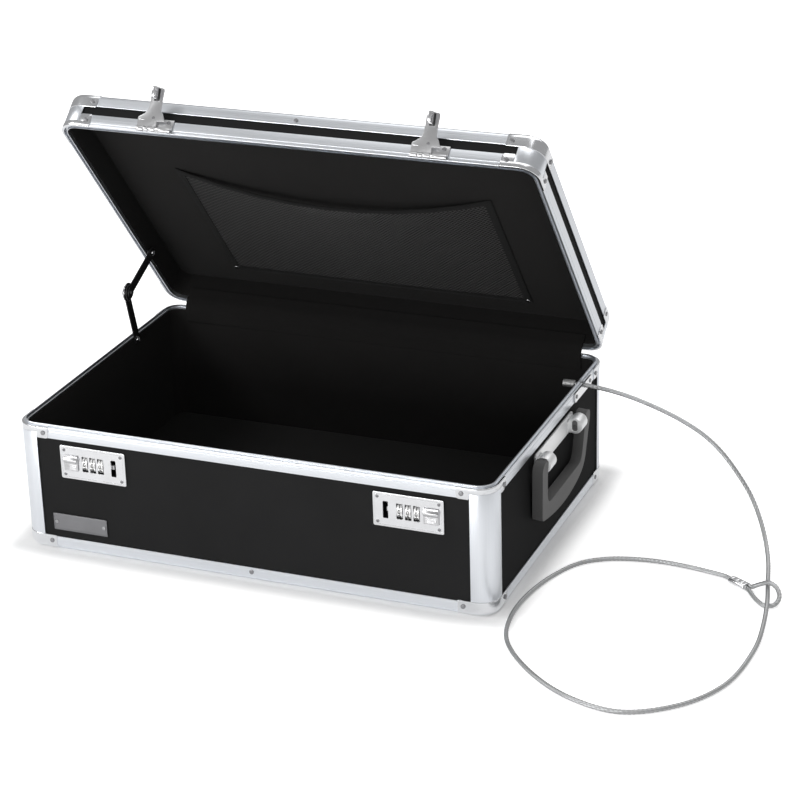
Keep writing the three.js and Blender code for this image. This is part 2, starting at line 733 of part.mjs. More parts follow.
function haspFixedLeaf(middle) {
  const front = faceFront - fitGap - haspPlate;
  const back = faceFront - fitGap;
  const low = haspAxisZ + haspBarrelRadius + haspLeafClear;
  const high = baseHeight + haspLeafRise;
  const pieces = [block(middle + haspLeft, middle + haspRight, front, back, low, high)];
  for (const [from, to, fixed] of haspKnuckles) {
    if (!fixed) continue;
    pieces.push(rod("x", haspBarrelRadius, middle + from, middle + to, 12, haspAxisY, haspAxisZ));
    pieces.push(block(middle + from, middle + to, front, back, haspAxisZ, low + bite));
  }
  for (const along of haspRivets) {
    pieces.push(place(rivetHead(smallRivetRadius, smallRivetHeight), middle + along, front,
      baseHeight + haspRivetRise, 90));
  }
  pieces.push(rod("x", haspPinRadius, middle + haspLeft + 1, middle + haspRight, 10, haspAxisY, haspAxisZ));
  return join(...pieces);
}

// Drawn hanging down from an axis at the origin, as it lies with the case locked
function haspSwingingLeaf() {
  const face = -haspBarrelRadius;
  const shape = outline(haspOutline.map(([along, drop]) => [along, -drop]));
  const leaf = frontPlate(shape, face, face + haspPlate);
  const centre = -(haspAxisZ - lockHeight);
  const half = stapleLength / 2;
  const inner = face + haspPlate - bite;
  const tip = face + haspPlate + stapleReach;
  const corner = stapleCorner;
  const ring = new THREE.Shape();
  ring.moveTo(inner, centre - half);
  ring.lineTo(tip - corner, centre - half);
  ring.quadraticCurveTo(tip, centre - half, tip, centre - half + corner);
  ring.lineTo(tip, centre + half - corner);
  ring.quadraticCurveTo(tip, centre + half, tip - corner, centre + half);
  ring.lineTo(inner, centre + half);
  ring.holes.push(roundedRectangle(tip - stapleRim - stapleEyeLength, tip - stapleRim,
    centre - stapleEyeHalf, centre + stapleEyeHalf, stapleEyeCorner));
  const staple = sidePlate(ring, -staplePlate / 2, staplePlate / 2, 3);
  let solid = join(leaf, staple);
  for (const [from, to, fixed] of haspKnuckles) {
    const reach = haspBarrelRadius + fitGap;
    if (fixed) {
      solid = cut(solid, block(from - fitGap, to + fitGap, face - 1, reach, -haspBarrelRadius - haspLeafClear,
        reach));
    }
    if (!fixed) solid = join(solid, rod("x", haspBarrelRadius, from, to, 12, 0, 0));
  }
  return cut(solid, rod("x", haspPinRadius + fitGap, haspLeft - 1, haspRight + 1, 10, 0, 0));
}

function hasps() {
  for (const [name, side] of [["left", -1], ["right", 1]]) {
    const middle = side * (lockFromMiddle - slotOffset);
    add(`hasp_${name}_fixed_leaf`, haspFixedLeaf(middle), chrome, lidShell);
    const swing = add(`hasp_${name}_swinging_leaf`, haspSwingingLeaf(), chrome, lidShell);
    swing.position.set(middle, haspAxisY, haspAxisZ);
    swing.rotation.x = -haspOpenAngle * degrees;
  }
}

// Locks: drawn with `side` 1 on the right and mirrored by -1 on the left
const plateBack = faceFront + panelOuter - fitGap;
const plateFace = plateBack - lockPlateThickness;
const dialY = plateFace - dialProud + dialRadius;

function lockX(side, outwards) {
  return side * (lockFromMiddle + outwards);
}

function lockBlock(side, from, to, y0, y1, z0, z1) {
  const a = lockX(side, from);
  const b = lockX(side, to);
  return block(Math.min(a, b), Math.max(a, b), y0, y1, lockHeight + z0, lockHeight + z1);
}

function dialPlaces() {
  return Array.from({ length: dialCount }, (_, number) => (number - (dialCount - 1) / 2) * dialPitch);
}

function lockPlate(side) {
  const middle = side * lockFromMiddle;
  const shape = roundedRectangle(middle - lockPlateLength / 2, middle + lockPlateLength / 2,
    lockHeight - lockPlateWidth / 2, lockHeight + lockPlateWidth / 2, 1.5);
  const tools = [lockBlock(side, -slotOffset - slotWidth / 2, -slotOffset + slotWidth / 2,
    plateFace - 1, plateBack + 1, -slotLength / 2, slotLength / 2)];
  for (const along of dialPlaces()) {
    tools.push(lockBlock(side, along - dialWindowWidth / 2, along + dialWindowWidth / 2,
      plateFace - 1, plateBack + 1, -dialWindowHeight / 2, dialWindowHeight / 2));
  }
  tools.push(lockBlock(side, slideOffset - slideStem / 2 - fitGap, slideOffset + slideStem / 2 + slideTravel
    + fitGap, plateFace - 1, plateBack + 1, -slideStem / 2 - fitGap, slideStem / 2 + fitGap));
  const screws = [];
  for (const across of [-1, 1]) {
    for (const up of [-1, 1]) {
      screws.push(place(rivetHead(smallRivetRadius, smallRivetHeight),
        middle + across * (lockPlateLength / 2 - lockScrewInset), plateFace,
        lockHeight + up * (lockPlateWidth / 2 - lockScrewInset), 90));
    }
  }
  return join(cut(frontPlate(shape, plateFace, plateBack), ...tools), ...screws);
}

function lockCase(side) {
  const halfLength = lockCaseLength / 2;
  const half = lockCaseWidth / 2;
  const front = plateBack + fitGap;
  const back = front + lockCaseDepth;
  const shell = cut(
    lockBlock(side, -halfLength, halfLength, front, back, -half, half),
    lockBlock(side, -halfLength + lockCaseWall, halfLength - lockCaseWall, front - 1, back - lockCaseWall,
      -half + lockCaseWall, half - lockCaseWall));
  const ribs = [-1, 1].map((end) => lockBlock(side, end * bulkheadOffset - bulkheadThickness / 2,
    end * bulkheadOffset + bulkheadThickness / 2, front + 1, back - lockCaseWall / 2,
    -half + lockCaseWall / 2, half - lockCaseWall - boltBar - 2 * fitGap));
  const [a, b] = [lockX(side, -bulkheadOffset), lockX(side, bulkheadOffset)];
  const shaft = rod("x", dialShaftRadius, Math.min(a, b), Math.max(a, b), 12, dialY, lockHeight);
  return join(shell, ...ribs, shaft);
}

// A number dial: a wheel on a bore, standing out of its window
function numberDial(side, along) {
  const x = lockX(side, along);
  const rim = rod("x", dialRadius, x - dialWidth / 2, x + dialWidth / 2, 20, dialY, lockHeight);
  const bore = rod("x", dialShaftRadius + fitGap, x - dialWidth, x + dialWidth, 12, dialY, lockHeight);
  return cut(rim, bore);
}

// The thumb slide outside with the latch bolt riveted behind it, reaching over the dials to the slot
function latchSlide(side) {
  const knobBack = plateFace - fitGap;
  const half = slideWidth / 2;
  const halfHeight = slideLength / 2;
  const knob = new THREE.Shape();
  knob.moveTo(knobBack, lockHeight - halfHeight);
  knob.lineTo(knobBack, lockHeight + halfHeight);
  knob.lineTo(knobBack - slidePlate, lockHeight + halfHeight);
  knob.lineTo(knobBack - slideRidge, lockHeight + halfHeight * 0.55);
  knob.lineTo(knobBack - slideRidge, lockHeight + halfHeight * 0.3);
  knob.lineTo(knobBack - slidePlate, lockHeight + halfHeight * 0.1);
  knob.lineTo(knobBack - slidePlate, lockHeight - halfHeight);
  const from = lockX(side, slideOffset - half);
  const to = lockX(side, slideOffset + half);
  const head = sidePlate(knob, Math.min(from, to), Math.max(from, to));
  const front = plateBack + fitGap;
  const top = lockCaseWidth / 2 - lockCaseWall - fitGap;
  const noseTip = -slotOffset + slotWidth / 2 - boltNoseReach;
  const legFrom = -slotOffset + slotWidth / 2 + 2 * fitGap;
  const legTo = legFrom + boltBar;
  const stemFrom = slideOffset - slideStem / 2;
  const barFront = front + boltBehind;
  const barBack = barFront + boltBar;
  return join(head,
    lockBlock(side, stemFrom, slideOffset + slideStem / 2, knobBack - bite, barBack, -slideStem / 2,
      slideStem / 2),
    lockBlock(side, stemFrom, stemFrom + boltBar, barFront, barBack, 0, top),
    lockBlock(side, legFrom, stemFrom + boltBar, barFront, barBack, top - boltBar, top),
    lockBlock(side, legFrom, legTo, barFront, barBack, -boltLegHalf, top),
    lockBlock(side, noseTip, legTo, barFront, barBack, -boltLegHalf, boltLegHalf));
}

function locks() {
  for (const [name, side] of [["left", -1], ["right", 1]]) {
    add(`lock_${name}_plate`, lockPlate(side), chrome);
    add(`lock_${name}_case`, lockCase(side), darkSteel);
    dialPlaces().forEach((along, number) => {
      add(`lock_${name}_dial_${number + 1}`, numberDial(side, side * along), chrome);
    });
    add(`lock_${name}_latch_slide`, latchSlide(side), chrome);
  }
}

// Stay: both arms meet at an elbow in front of the pivots
const stayAxis = new THREE.Vector2(hingeY, baseHeight);
const stayReach = Math.hypot(stayPivotFromHinge, stayPivotDrop);
const stayDropAngle = Math.atan2(stayPivotDrop, stayPivotFromHinge);
const stayHalfAngle = (lidOpenAngle * degrees) / 2 + stayDropAngle;
const elbowReach = stayReach * Math.cos(stayHalfAngle)
  + Math.sqrt(stayArmLength ** 2 - (stayReach * Math.sin(stayHalfAngle)) ** 2);
const elbow = new THREE.Vector2(
  stayAxis.x - elbowReach * Math.cos((lidOpenAngle * degrees) / 2),
  stayAxis.y + elbowReach * Math.sin((lidOpenAngle * degrees) / 2));
const basePivot = new THREE.Vector2(hingeY - stayPivotFromHinge, baseHeight - stayPivotDrop);
const lidPivot = new THREE.Vector2(
  stayAxis.x - stayReach * Math.cos(lidOpenAngle * degrees + stayDropAngle),
  stayAxis.y + stayReach * Math.sin(lidOpenAngle * degrees + stayDropAngle));

// A flat arm with round ends from one pivot to another, in the plane x0 to x1
function stayArm(from, to, x0, x1, radiusTo, radiusFrom) {
  const along = to.clone().sub(from).normalize();
  const across = new THREE.Vector2(-along.y, along.x).multiplyScalar(stayArmWidth / 2);
  const shape = new THREE.Shape([from.clone().add(across), from.clone().sub(across),
    to.clone().sub(across), to.clone().add(across)]);
  return join(sidePlate(shape, x0, x1), rod("x", radiusFrom, x0, x1, 16, from.x, from.y),
    rod("x", radiusTo, x0, x1, 20, to.x, to.y));
}

function stay() {
  const wall = -halfWidth + wallInner;
  const lowerFrom = wall + fitGap;
  const lowerTo = lowerFrom + stayArmPlate;
  const discFrom = lowerTo + fitGap;
  const discTo = discFrom + stayDiscPlate;
  const upperFrom = discTo + fitGap;
  const upperTo = upperFrom + stayArmPlate;
  const headFrom = upperTo + fitGap;
  const headTo = headFrom + stayHeadPlate;
  const lower = join(
    stayArm(basePivot, elbow, lowerFrom, lowerTo, stayArmWidth, stayEndRadius),
    rod("x", stayHeadRadius, lowerTo - bite, lowerTo + stayHeadPlate, 12, basePivot.x, basePivot.y),
    rod("x", stayRivetRadius, lowerTo - bite, headTo - bite, 12, elbow.x, elbow.y),
    rod("x", stayEyeRadius - 1, headFrom, headTo, 20, elbow.x, elbow.y));
  add("stay_lower_arm", lower, darkSteel);
  const disc = cut(rod("x", stayDiscRadius, discFrom, discTo, 24, elbow.x, elbow.y),
    rod("x", stayRivetRadius + fitGap, discFrom - 1, discTo + 1, 12, elbow.x, elbow.y));
  add("stay_spring_washer", disc, chrome);
  const upper = cut(
    join(stayArm(lidPivot, elbow, upperFrom, upperTo, stayEyeRadius, stayEndRadius),
      rod("x", stayHeadRadius, lowerFrom, upperFrom + bite, 12, lidPivot.x, lidPivot.y),
      rod("x", stayHeadRadius, upperTo - bite, upperTo + stayHeadPlate, 12, lidPivot.x, lidPivot.y)),
    rod("x", stayEyeHole, upperFrom - 1, upperTo + 1, 18, elbow.x, elbow.y));
  add("stay_upper_arm", upper, darkSteel);
}

// Handle: a strap on the right side curled into two barrels, and a grip that hangs from them
function handle() {
  const axisX = halfWidth + handleStand;
  const wallX = halfWidth - panelOuter + fitGap;
  const slotLow = handleHeight - handlePinRadius - fitGap;
  const barrelShape = new THREE.Shape();
  barrelShape.absarc(axisX, handleHeight + handleBarrelRise, handleBarrelRadius, 0, Math.PI * 2);
  barrelShape.holes.push(roundedRectangle(axisX - handleSlotWidth / 2, axisX + handleSlotWidth / 2, slotLow,
    slotLow + handleSlotLength, handleSlotWidth / 2 - 0.05));
  const half = handleBarrelLength / 2;
  const outer = handleBarrelMiddle + half;
  const front = handleMiddle - outer;
  const back = handleMiddle + outer;
  const low = handleStrapTop - handleStrapHeight;
  const chamfer = handleStrapChamfer;
  const strap = outline([[front, low], [back, low], [back, handleStrapTop - chamfer],
    [back - chamfer, handleStrapTop], [front + chamfer, handleStrapTop], [front, handleStrapTop - chamfer]]);
  const pieces = [sidePlate(strap, wallX, wallX + handleStrapPlate)];
  for (const side of [-1, 1]) {
    const from = handleMiddle + side * handleBarrelMiddle - half;
    pieces.push(frontPlate(barrelShape, from, from + handleBarrelLength, 7));
    pieces.push(block(wallX + handleStrapPlate - bite, axisX - handleSlotWidth / 2 - bite, from,
      from + handleBarrelLength, handleHeight - handleWebLow, handleHeight + handleWebHigh));
  }
  add("handle_bracket", join(...pieces), chrome);

  // The grip as seen from the side: two legs outside the barrels, and a hand bar between them
  const legInner = outer + fitGap;
  const legOuter = legInner + gripLegWidth;
  const grip = new THREE.Shape();
  const at = ([y, z]) => [handleMiddle + y, handleHeight + z];
  const ahead = ([y, z]) => at([-y, z]);
  const bend = (control, to) => grip.quadraticCurveTo(...control, ...to);
  const [frontStart, frontTip, frontEnd] = gripFrontCorner.map(at);
  const [backStart, backTip, backEnd] = gripBackCorner.map(at);
  grip.moveTo(...at([-legOuter, gripEarTop - gripEarRadius]));
  grip.lineTo(...frontStart);
  bend(frontTip, frontEnd);
  bend(at([-gripBow, -gripDrop]), at([0, -gripDrop]));
  bend(at([gripBow, -gripDrop]), backStart);
  bend(backTip, backEnd);
  grip.lineTo(...at([legOuter, gripEarTop - gripEarRadius]));
  bend(at([legOuter, gripEarTop]), at([legOuter - gripEarRadius, gripEarTop]));
  grip.lineTo(...at([legInner + gripEarInnerRadius, gripEarTop]));
  bend(at([legInner, gripEarTop]), at([legInner, gripEarTop - gripEarInnerRadius]));
  grip.lineTo(...at([legInner, -gripLegBend]));
  grip.lineTo(...at(gripInnerCorner[0]));
  bend(at(gripInnerCorner[1]), at(gripInnerCorner[2]));
  grip.lineTo(...ahead(gripInnerCorner[2]));
  bend(ahead(gripInnerCorner[1]), ahead(gripInnerCorner[0]));
  grip.lineTo(...ahead([legInner, -gripLegBend]));
  grip.lineTo(...ahead([legInner, gripEarTop - gripEarInnerRadius]));
  bend(ahead([legInner, gripEarTop]), ahead([legInner + gripEarInnerRadius, gripEarTop]));
  grip.lineTo(...ahead([legOuter - gripEarRadius, gripEarTop]));
  bend(ahead([legOuter, gripEarTop]), ahead([legOuter, gripEarTop - gripEarRadius]));
  const loop = new THREE.ExtrudeGeometry(grip, { depth: gripThickness - 2 * gripBevel, curveSegments: 3,
    bevelSize: gripBevel, bevelThickness: gripBevel, bevelOffset: -gripBevel, bevelSegments: 2 });
  const upright = seenFromRight(loop, -gripThickness / 2 + gripBevel).translate(0, 0, -handleHeight);
  const hanging = place(upright, axisX, 0, handleHeight, 0, gripHang);
  const pins = [-1, 1].map((side) => {
    const far = handleMiddle + side * (legInner + gripLegWidth / 2);
    const near = handleMiddle + side * (handleBarrelMiddle - half / 2);
    return rod("y", handlePinRadius, Math.min(far, near), Math.max(far, near), 10, axisX, handleHeight);
  });
  add("handle_grip", join(hanging, ...pins), gripPlastic);
}

function namePlate() {
  const front = faceFront + panelOuter - fitGap - namePlatePlate;
  const shape = roundedRectangle(-namePlateFromMiddle - namePlateLength / 2,
    -namePlateFromMiddle + namePlateLength / 2, namePlateHeight - namePlateWidth / 2,
    namePlateHeight + namePlateWidth / 2, 0.8);
  const rivets = [-1, 1].map((end) => place(rivetHead(smallRivetRadius, smallRivetHeight),
    -namePlateFromMiddle + end * namePlateRivet, front, namePlateHeight, 90));
  add("name_plate", join(frontPlate(shape, front, front + namePlatePlate, 3), ...rivets), chrome);
}

// A sheet of even thickness hung from the corners of its top face
function thickSheet(points, triangles, thickness) {
  const positions = [0, thickness].flatMap((drop) => points.flatMap(([x, y, z]) => [x, y, z - drop]));
  const count = points.length;
  const sides = triangles.flatMap(([a, b, c]) => [[a, b], [b, c], [c, a]]);
  const known = new Set(sides.map((side) => side.join()));
  const index = triangles.flatMap(([a, b, c]) => [a, b, c, count + a, count + c, count + b]);
  for (const [from, to] of sides) {
    if (known.has([to, from].join())) continue;
    index.push(count + from, count + to, to, count + from, to, from);
  }
  const geometry = new THREE.BufferGeometry();
  geometry.setAttribute("position", new THREE.Float32BufferAttribute(positions, 3));
  geometry.setIndex(index);
  return geometry;
}

function evenSteps(from, to, count) {
  return Array.from({ length: count + 1 }, (_, step) => from + ((to - from) * step) / count);
}

// The net pocket: a netting of diamond gaps inside a hem, sagging where it isn't sewn
function netPocket() {
  const depth = caseDepth - netFromFront - netFromBack;
  const across = [-netHalfWidth, ...evenSteps(-netHalfWidth + netHem, netHalfWidth - netHem, netColumns),
    netHalfWidth];
  const back = [0, ...evenSteps(netHem, depth - netHem, netRows), depth];
  const plan = back.flatMap((y) => across.map((x) => [x, y]));
  const triangles = [];
  for (let row = 0; row < back.length - 1; row += 1) {
    for (let column = 0; column < across.length - 1; column += 1) {
      const a = row * across.length + column;
      const corners = [a, a + 1, a + 1 + across.length, a + across.length];
      const inHem = row === 0 || column === 0 || row === netRows + 1 || column === netColumns + 1;
      if (inHem) {
        triangles.push([corners[0], corners[1], corners[2]], [corners[0], corners[2], corners[3]]);
        continue;
      }
      const x = (across[column] + across[column + 1]) / 2;
      const y = (back[row] + back[row + 1]) / 2;
      const halfX = (across[column + 1] - across[column]) / 2 - netString / 4;
      const halfY = (back[row + 1] - back[row]) / 2 - netString / 4;
      const first = plan.length;
      plan.push([x, y - halfY], [x + halfX, y], [x, y + halfY], [x - halfX, y]);
      for (let side = 0; side < 4; side += 1) {
        const next = (side + 1) % 4;
        triangles.push([corners[side], corners[next], first + side],
          [corners[next], first + next, first + side]);
      }
    }
  }
  const ceiling = closedTop - skin - fitGap - floorThickness - fitGap - padThickness - fitGap;
  const hung = plan.map(([x, y]) => {
    const slack = 1 - (x / netHalfWidth) ** 2;
    const sag = netSag * slack * (1 - (y / depth) ** 2);
    const dip = netDip * slack * (1 - y / depth) ** 2;
    return [x, -halfDepth + netFromFront + y + dip, ceiling - sag];
  });
  add("lid_net_pocket", thickSheet(hung, triangles, netThickness), felt, lidShell);
}

// Tether: a wire rope held in a notch in the right rim, with an eye crimped on its far end
const ropeZ = baseHeight - ropeDrop;
const ropeStart = halfWidth - wallInner - ropeInside;
// Where the rope lies: each point is measured outwards from the right side, then back from the notch,
// then up from the ground
const ropeLie = [
  [23.75, 0, 113], [45.75, -1.6, 109.5], [71.75, -5, 103.5], [95.75, -8.5, 95.8], [116.25, -12.5, 86.8],
  [132.25, -17.5, 76.6], [148.75, -25, 62.5], [164.75, -35.5, 46.8], [177.25, -49.5, 32],
  [186.75, -66, 19.8], [194.75, -87.5, 11.5], [202.25, -118, 6.7], [209.75, -150, 7], [215.25, -185, 3.3],
  [218.25, -227, 2.3], [210.45, -289.5, 2.3], [185.45, -331, 2.3], [144.55, -356.4, 2.3],
  [101.25, -348.5, 2.3], [58.35, -319.7, 2.3], [23.75, -277, 2.3], [13.25, -238, 2.3], [13.75, -195, 2.3],
  [23.75, -152.9, 2.3], [38.25, -124.5, 2.3], [58.75, -109.6, 2.3], [81.75, -102.7, 2.3],
  [104.15, -100.4, 2.3], [127.65, -101.9, 2.3], [150.15, -106.1, 2.5], [162.35, -109.7, 2.9],
  [169.35, -113.6, 3],
];
const eyeLie = [
  [197.25, -123.5, 7.6], [205.25, -126.2, 11.6], [213.35, -131.5, 10.2], [217.35, -139.5, 6],
  [215.35, -147.8, 3.2], [208.35, -150.6, 2.3], [198.35, -142.4, 2.4],
];
const fromSide = ([out, back, z]) => new THREE.Vector3(halfWidth + out, notchMiddle + back, z);
const ropeRoute = [new THREE.Vector3(ropeStart, notchMiddle, ropeZ),
  new THREE.Vector3(halfWidth + ropeInside, notchMiddle, ropeZ), ...ropeLie.map(fromSide)];
const ropeEnd = ropeRoute[ropeRoute.length - 1];
const ferruleTurn = -30; // degrees about the vertical
const ferruleAlong = new THREE.Vector3(Math.cos(ferruleTurn * degrees), Math.sin(ferruleTurn * degrees), 0);
const ferruleAcross = new THREE.Vector3(-ferruleAlong.y, ferruleAlong.x, 0);
const ferruleMiddle = ropeEnd.clone().addScaledVector(ferruleAlong, ferruleLength / 2 + fitGap);
const eyeSpread = ropeRadius + eyeGap;

function eyeEnd(side) {
  return ferruleMiddle.clone().addScaledVector(ferruleAlong, ferruleLength / 2 + fitGap)
    .addScaledVector(ferruleAcross, side * eyeSpread);
}

function ropeTube(points, steps) {
  const section = new THREE.Shape();
  for (let side = 0; side < ropeSides; side += 1) {
    const angle = (side / ropeSides) * Math.PI * 2;
    const corner = [ropeRadius * Math.cos(angle), ropeRadius * Math.sin(angle)];
    if (side === 0) section.moveTo(...corner);
    else section.lineTo(...corner);
  }
  const curve = new THREE.CatmullRomCurve3(points, false, "centripetal");
  const tube = new THREE.ExtrudeGeometry(section, { steps, bevelEnabled: false, extrudePath: curve });
  return toGeometry(toSolid(tube));
}

function tether() {
  add("tether_rope", ropeTube(ropeRoute, ropeSteps), ropeSteel);
  const far = eyeEnd(1);
  const near = eyeEnd(-1);
  const lead = ferruleAlong.clone().multiplyScalar(eyeLead);
  const eyeRoute = [far, far.clone().add(lead), ...eyeLie.map(fromSide), near.clone().add(lead), near];
  add("tether_eye", ropeTube(eyeRoute, eyeSteps), ropeSteel);

  const half = [ferruleWidth / 2, ferruleHeight / 2];
  const oval = new THREE.Shape();
  oval.absellipse(0, 0, half[0], half[1], 0, Math.PI * 2);
  const body = new THREE.ExtrudeGeometry(oval,
    { depth: ferruleLength, bevelEnabled: false, curveSegments: 6 });
  const turn = new THREE.Matrix4().makeBasis(ferruleAcross, new THREE.Vector3(0, 0, 1), ferruleAlong);
  const start = ferruleMiddle.clone().addScaledVector(ferruleAlong, -ferruleLength / 2);
  turn.setPosition(start.x, start.y, ropeEnd.z);
  add("tether_ferrule", facingOut(mergeVertices(bareCopy(body.applyMatrix4(turn)), 1e-4)), ropeSteel);

  const stopTo = ropeStart - fitGap;
  add("tether_stop_sleeve", rod("x", stopRadius, stopTo - stopLength, stopTo, 12, notchMiddle, ropeZ),
    ropeSteel);

  const low = baseHeight - rimFlange + notchPlateFoot;
  const high = baseHeight - notchPlateInset;
  const plateFront = notchMiddle - notchPlateAhead;
  const plateEnd = notchMiddle + notchPlateBehind;
  const plateShape = outline([[plateFront, low], [plateEnd, low], [plateEnd, high], [plateFront, high]]);
  const from = halfWidth + fitGap;
  const notchPlate = cut(sidePlate(plateShape, from, from + notchPlatePlate), notchTool(notchDepth));
  const rivetPlaces = [plateFront + notchPlateRivetInset, plateEnd - notchPlateRivetInset];
  const rivets = rivetPlaces.map((y) => place(rivetHead(smallRivetRadius, smallRivetHeight),
    from + notchPlatePlate, y, baseHeight - rimFlange / 2, 0, 90));
  add("tether_notch_plate", join(notchPlate, ...rivets), chrome);
}

function bareCopy(geometry) {
  const bare = new THREE.BufferGeometry();
  bare.setAttribute("position", geometry.getAttribute("position").clone());
  if (geometry.index) bare.setIndex(geometry.index.clone());
  return bare;
}

baseFrames();
lidFrames();
cornerPosts();
walls();
floorAndTop();
linings();
hingeStrip();
hinges();
hasps();
locks();
stay();
handle();
namePlate();
netPocket();
tether();

export default group;
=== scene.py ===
# Portable car safe: aluminium-edged case, two combination locks, side handle, wire-rope tether
import math

import bpy
from mathutils import Matrix, Vector


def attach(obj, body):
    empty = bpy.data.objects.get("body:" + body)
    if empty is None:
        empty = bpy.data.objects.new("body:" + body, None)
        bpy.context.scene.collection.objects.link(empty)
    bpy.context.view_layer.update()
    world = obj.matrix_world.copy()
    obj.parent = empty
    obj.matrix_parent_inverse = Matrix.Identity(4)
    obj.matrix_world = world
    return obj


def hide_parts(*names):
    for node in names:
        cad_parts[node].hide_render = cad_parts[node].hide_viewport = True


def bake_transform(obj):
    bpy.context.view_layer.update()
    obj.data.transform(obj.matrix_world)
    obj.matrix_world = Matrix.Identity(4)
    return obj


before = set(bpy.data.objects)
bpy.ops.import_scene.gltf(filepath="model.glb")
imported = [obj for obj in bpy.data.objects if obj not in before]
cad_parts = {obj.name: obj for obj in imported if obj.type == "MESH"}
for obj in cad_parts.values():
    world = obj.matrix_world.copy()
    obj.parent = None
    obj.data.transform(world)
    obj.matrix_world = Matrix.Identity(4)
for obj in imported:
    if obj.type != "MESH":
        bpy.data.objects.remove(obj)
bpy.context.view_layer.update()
print("frame loaded")

# pieces are built in millimetres and scaled when they are finished
caseSize = {"width": 444.5, "depth": 304.8, "baseHeight": 118.0, "lidHeight": 34.4, "corner": 17.0,
            "lidAngle": 50.9, "hingeBehind": 4.2, "wall": 5.5, "gap": 0.3}
halfWidth = caseSize["width"] / 2
halfDepth = caseSize["depth"] / 2
baseTop = caseSize["baseHeight"]
lidTop = baseTop + caseSize["lidHeight"]
hingeY = halfDepth + caseSize["hingeBehind"]
cornerRadius = caseSize["corner"]
gap = caseSize["gap"]
lidTurn = math.radians(caseSize["lidAngle"])
lidTilt = (Matrix.Translation((0, hingeY, baseTop)) @ Matrix.Rotation(-lidTurn, 4, "X")
           @ Matrix.Translation((0, -hingeY, -baseTop)))
lidBodies = ("lid", "hasp_left", "hasp_right")
hands = (("left", -1), ("right", 1))
quarter = math.pi / 2

# camera and studio
photoView = {"place": (0.85702, -1.89449, 0.99991), "yaw": 22.28, "pitch": -23.3, "roll": -1.66,
             "focal": 2511.78, "pixels": 800, "sensor": 36.0, "reach": 50}


def addCamera():
    yaw, pitch, roll = (math.radians(photoView[key]) for key in ("yaw", "pitch", "roll"))
    ahead = Vector((-math.sin(yaw) * math.cos(pitch), math.cos(yaw) * math.cos(pitch), math.sin(pitch)))
    level = Vector((math.cos(yaw), math.sin(yaw), 0))
    up = level.cross(ahead)
    right = level * math.cos(roll) + up * math.sin(roll)
    top = up * math.cos(roll) - level * math.sin(roll)
    bpy.ops.object.camera_add(location=photoView["place"])
    camera = bpy.context.object
    camera.name = "photoCamera"
    camera.data.sensor_width = photoView["sensor"]
    camera.data.lens = photoView["focal"] / photoView["pixels"] * photoView["sensor"]
    camera.data.clip_end = photoView["reach"]
    turn = Matrix((right, top, -ahead)).transposed().to_4x4()
    camera.matrix_world = Matrix.Translation(photoView["place"]) @ turn
    bpy.context.scene.camera = camera


addCamera()


# shader helpers
class Socket:
    # a node's output that can be written in sums

    def __init__(self, sheet, out):
        self.sheet = sheet
        self.out = out

    def __add__(self, other):
        return self.sheet.add("ShaderNodeMath", {"operation": "ADD"}, self, other)

    def __mul__(self, other):
        return self.sheet.add("ShaderNodeMath", {"operation": "MULTIPLY"}, self, other)


class Finish:
    # one material's node sheet

    def __init__(self, name, **fixed):
        self.material = bpy.data.materials.new(name)
        self.material.use_nodes = True
        self.tree = self.material.node_tree
        self.shader = self.tree.nodes["Principled BSDF"]
        for socket, value in fixed.items():
            self.shader.inputs[socket.replace("_", " ")].default_value = value

    def add(self, kind, settings=None, *values, out=0, **named):
        node = self.tree.nodes.new(kind)
        for setting, value in (settings or {}).items():
            setattr(node, setting, value)
        for place, value in [*enumerate(values), *named.items()]:
            self.feed(node.inputs[place.replace("_", " ") if isinstance(place, str) else place], value)
        return Socket(self, node.outputs[out])

    def feed(self, socket, value):
        if isinstance(value, Socket):
            self.tree.links.new(value.out, socket)
        else:
            socket.default_value = value

    def place(self, turn=(0, 0, 0), scale=(1, 1, 1)):
        # Object coordinates, turned and scaled
        here = self.add("ShaderNodeTexCoord", out=3)
        return self.add("ShaderNodeMapping", Vector=here, Rotation=turn, Scale=scale)

    def noise(self, where, scale, detail=3.0, rough=0.5):
        return self.add("ShaderNodeTexNoise", Vector=where, Scale=scale, Detail=detail, Roughness=rough)

    def blendShades(self, factor, first, second):
        node = self.tree.nodes.new("ShaderNodeMix")
        node.data_type = "RGBA"
        for place, value in ((0, factor), (6, (*first, 1)), (7, (*second, 1))):
            self.feed(node.inputs[place], value)
        return Socket(self, node.outputs[2])

    def dress(self, factor, first, second, rough, height, strength, distance):
        # colour between two shades, roughness, and bump from a height
        raised = self.add("ShaderNodeBump", Strength=strength, Distance=distance, Height=height)
        for socket, value in (("Base Color", self.blendShades(factor, first, second)),
                              ("Roughness", rough), ("Normal", raised)):
            self.feed(self.shader.inputs[socket], value)
        return self.material


def dim(shade, share):
    return tuple(c * share for c in shade)


def aluminiumFinish(name, streak, turn=(0, 0, 0), paintedShade=1.0):
    # anodised aluminium with drawing lines; streak scales the lines across each axis; the last
    # argument, below 1, darkens both colours as painted shade
    finish = Finish(name, Metallic=1.0)
    lines = finish.noise(finish.place(turn, streak), 1.0, 4.0, 0.6)
    cloud = finish.noise(finish.place(turn), 9.0, 2.0)
    return finish.dress(lines * 0.55 + cloud * 0.3, dim((0.69, 0.72, 0.765), paintedShade),
                        dim((0.86, 0.875, 0.90), paintedShade), lines * 0.16 + cloud * 0.08 + 0.22,
                        lines, 0.25, 0.0002)


def chromeFinish(name, shade, rough, scratch=0.1):
    # plated steel with smears and hairline scratches
    finish = Finish(name, Metallic=1.0)
    smear = finish.noise(finish.place(), 60.0)
    hairs = finish.noise(finish.place((0.3, 0.5, 0.8), (900, 40, 900)), 1.0, 2.0)
    return finish.dress(smear, dim(shade, 0.9), shade,
                        smear * scratch + hairs * scratch * 0.5 + rough, hairs, 0.06, 0.0001)


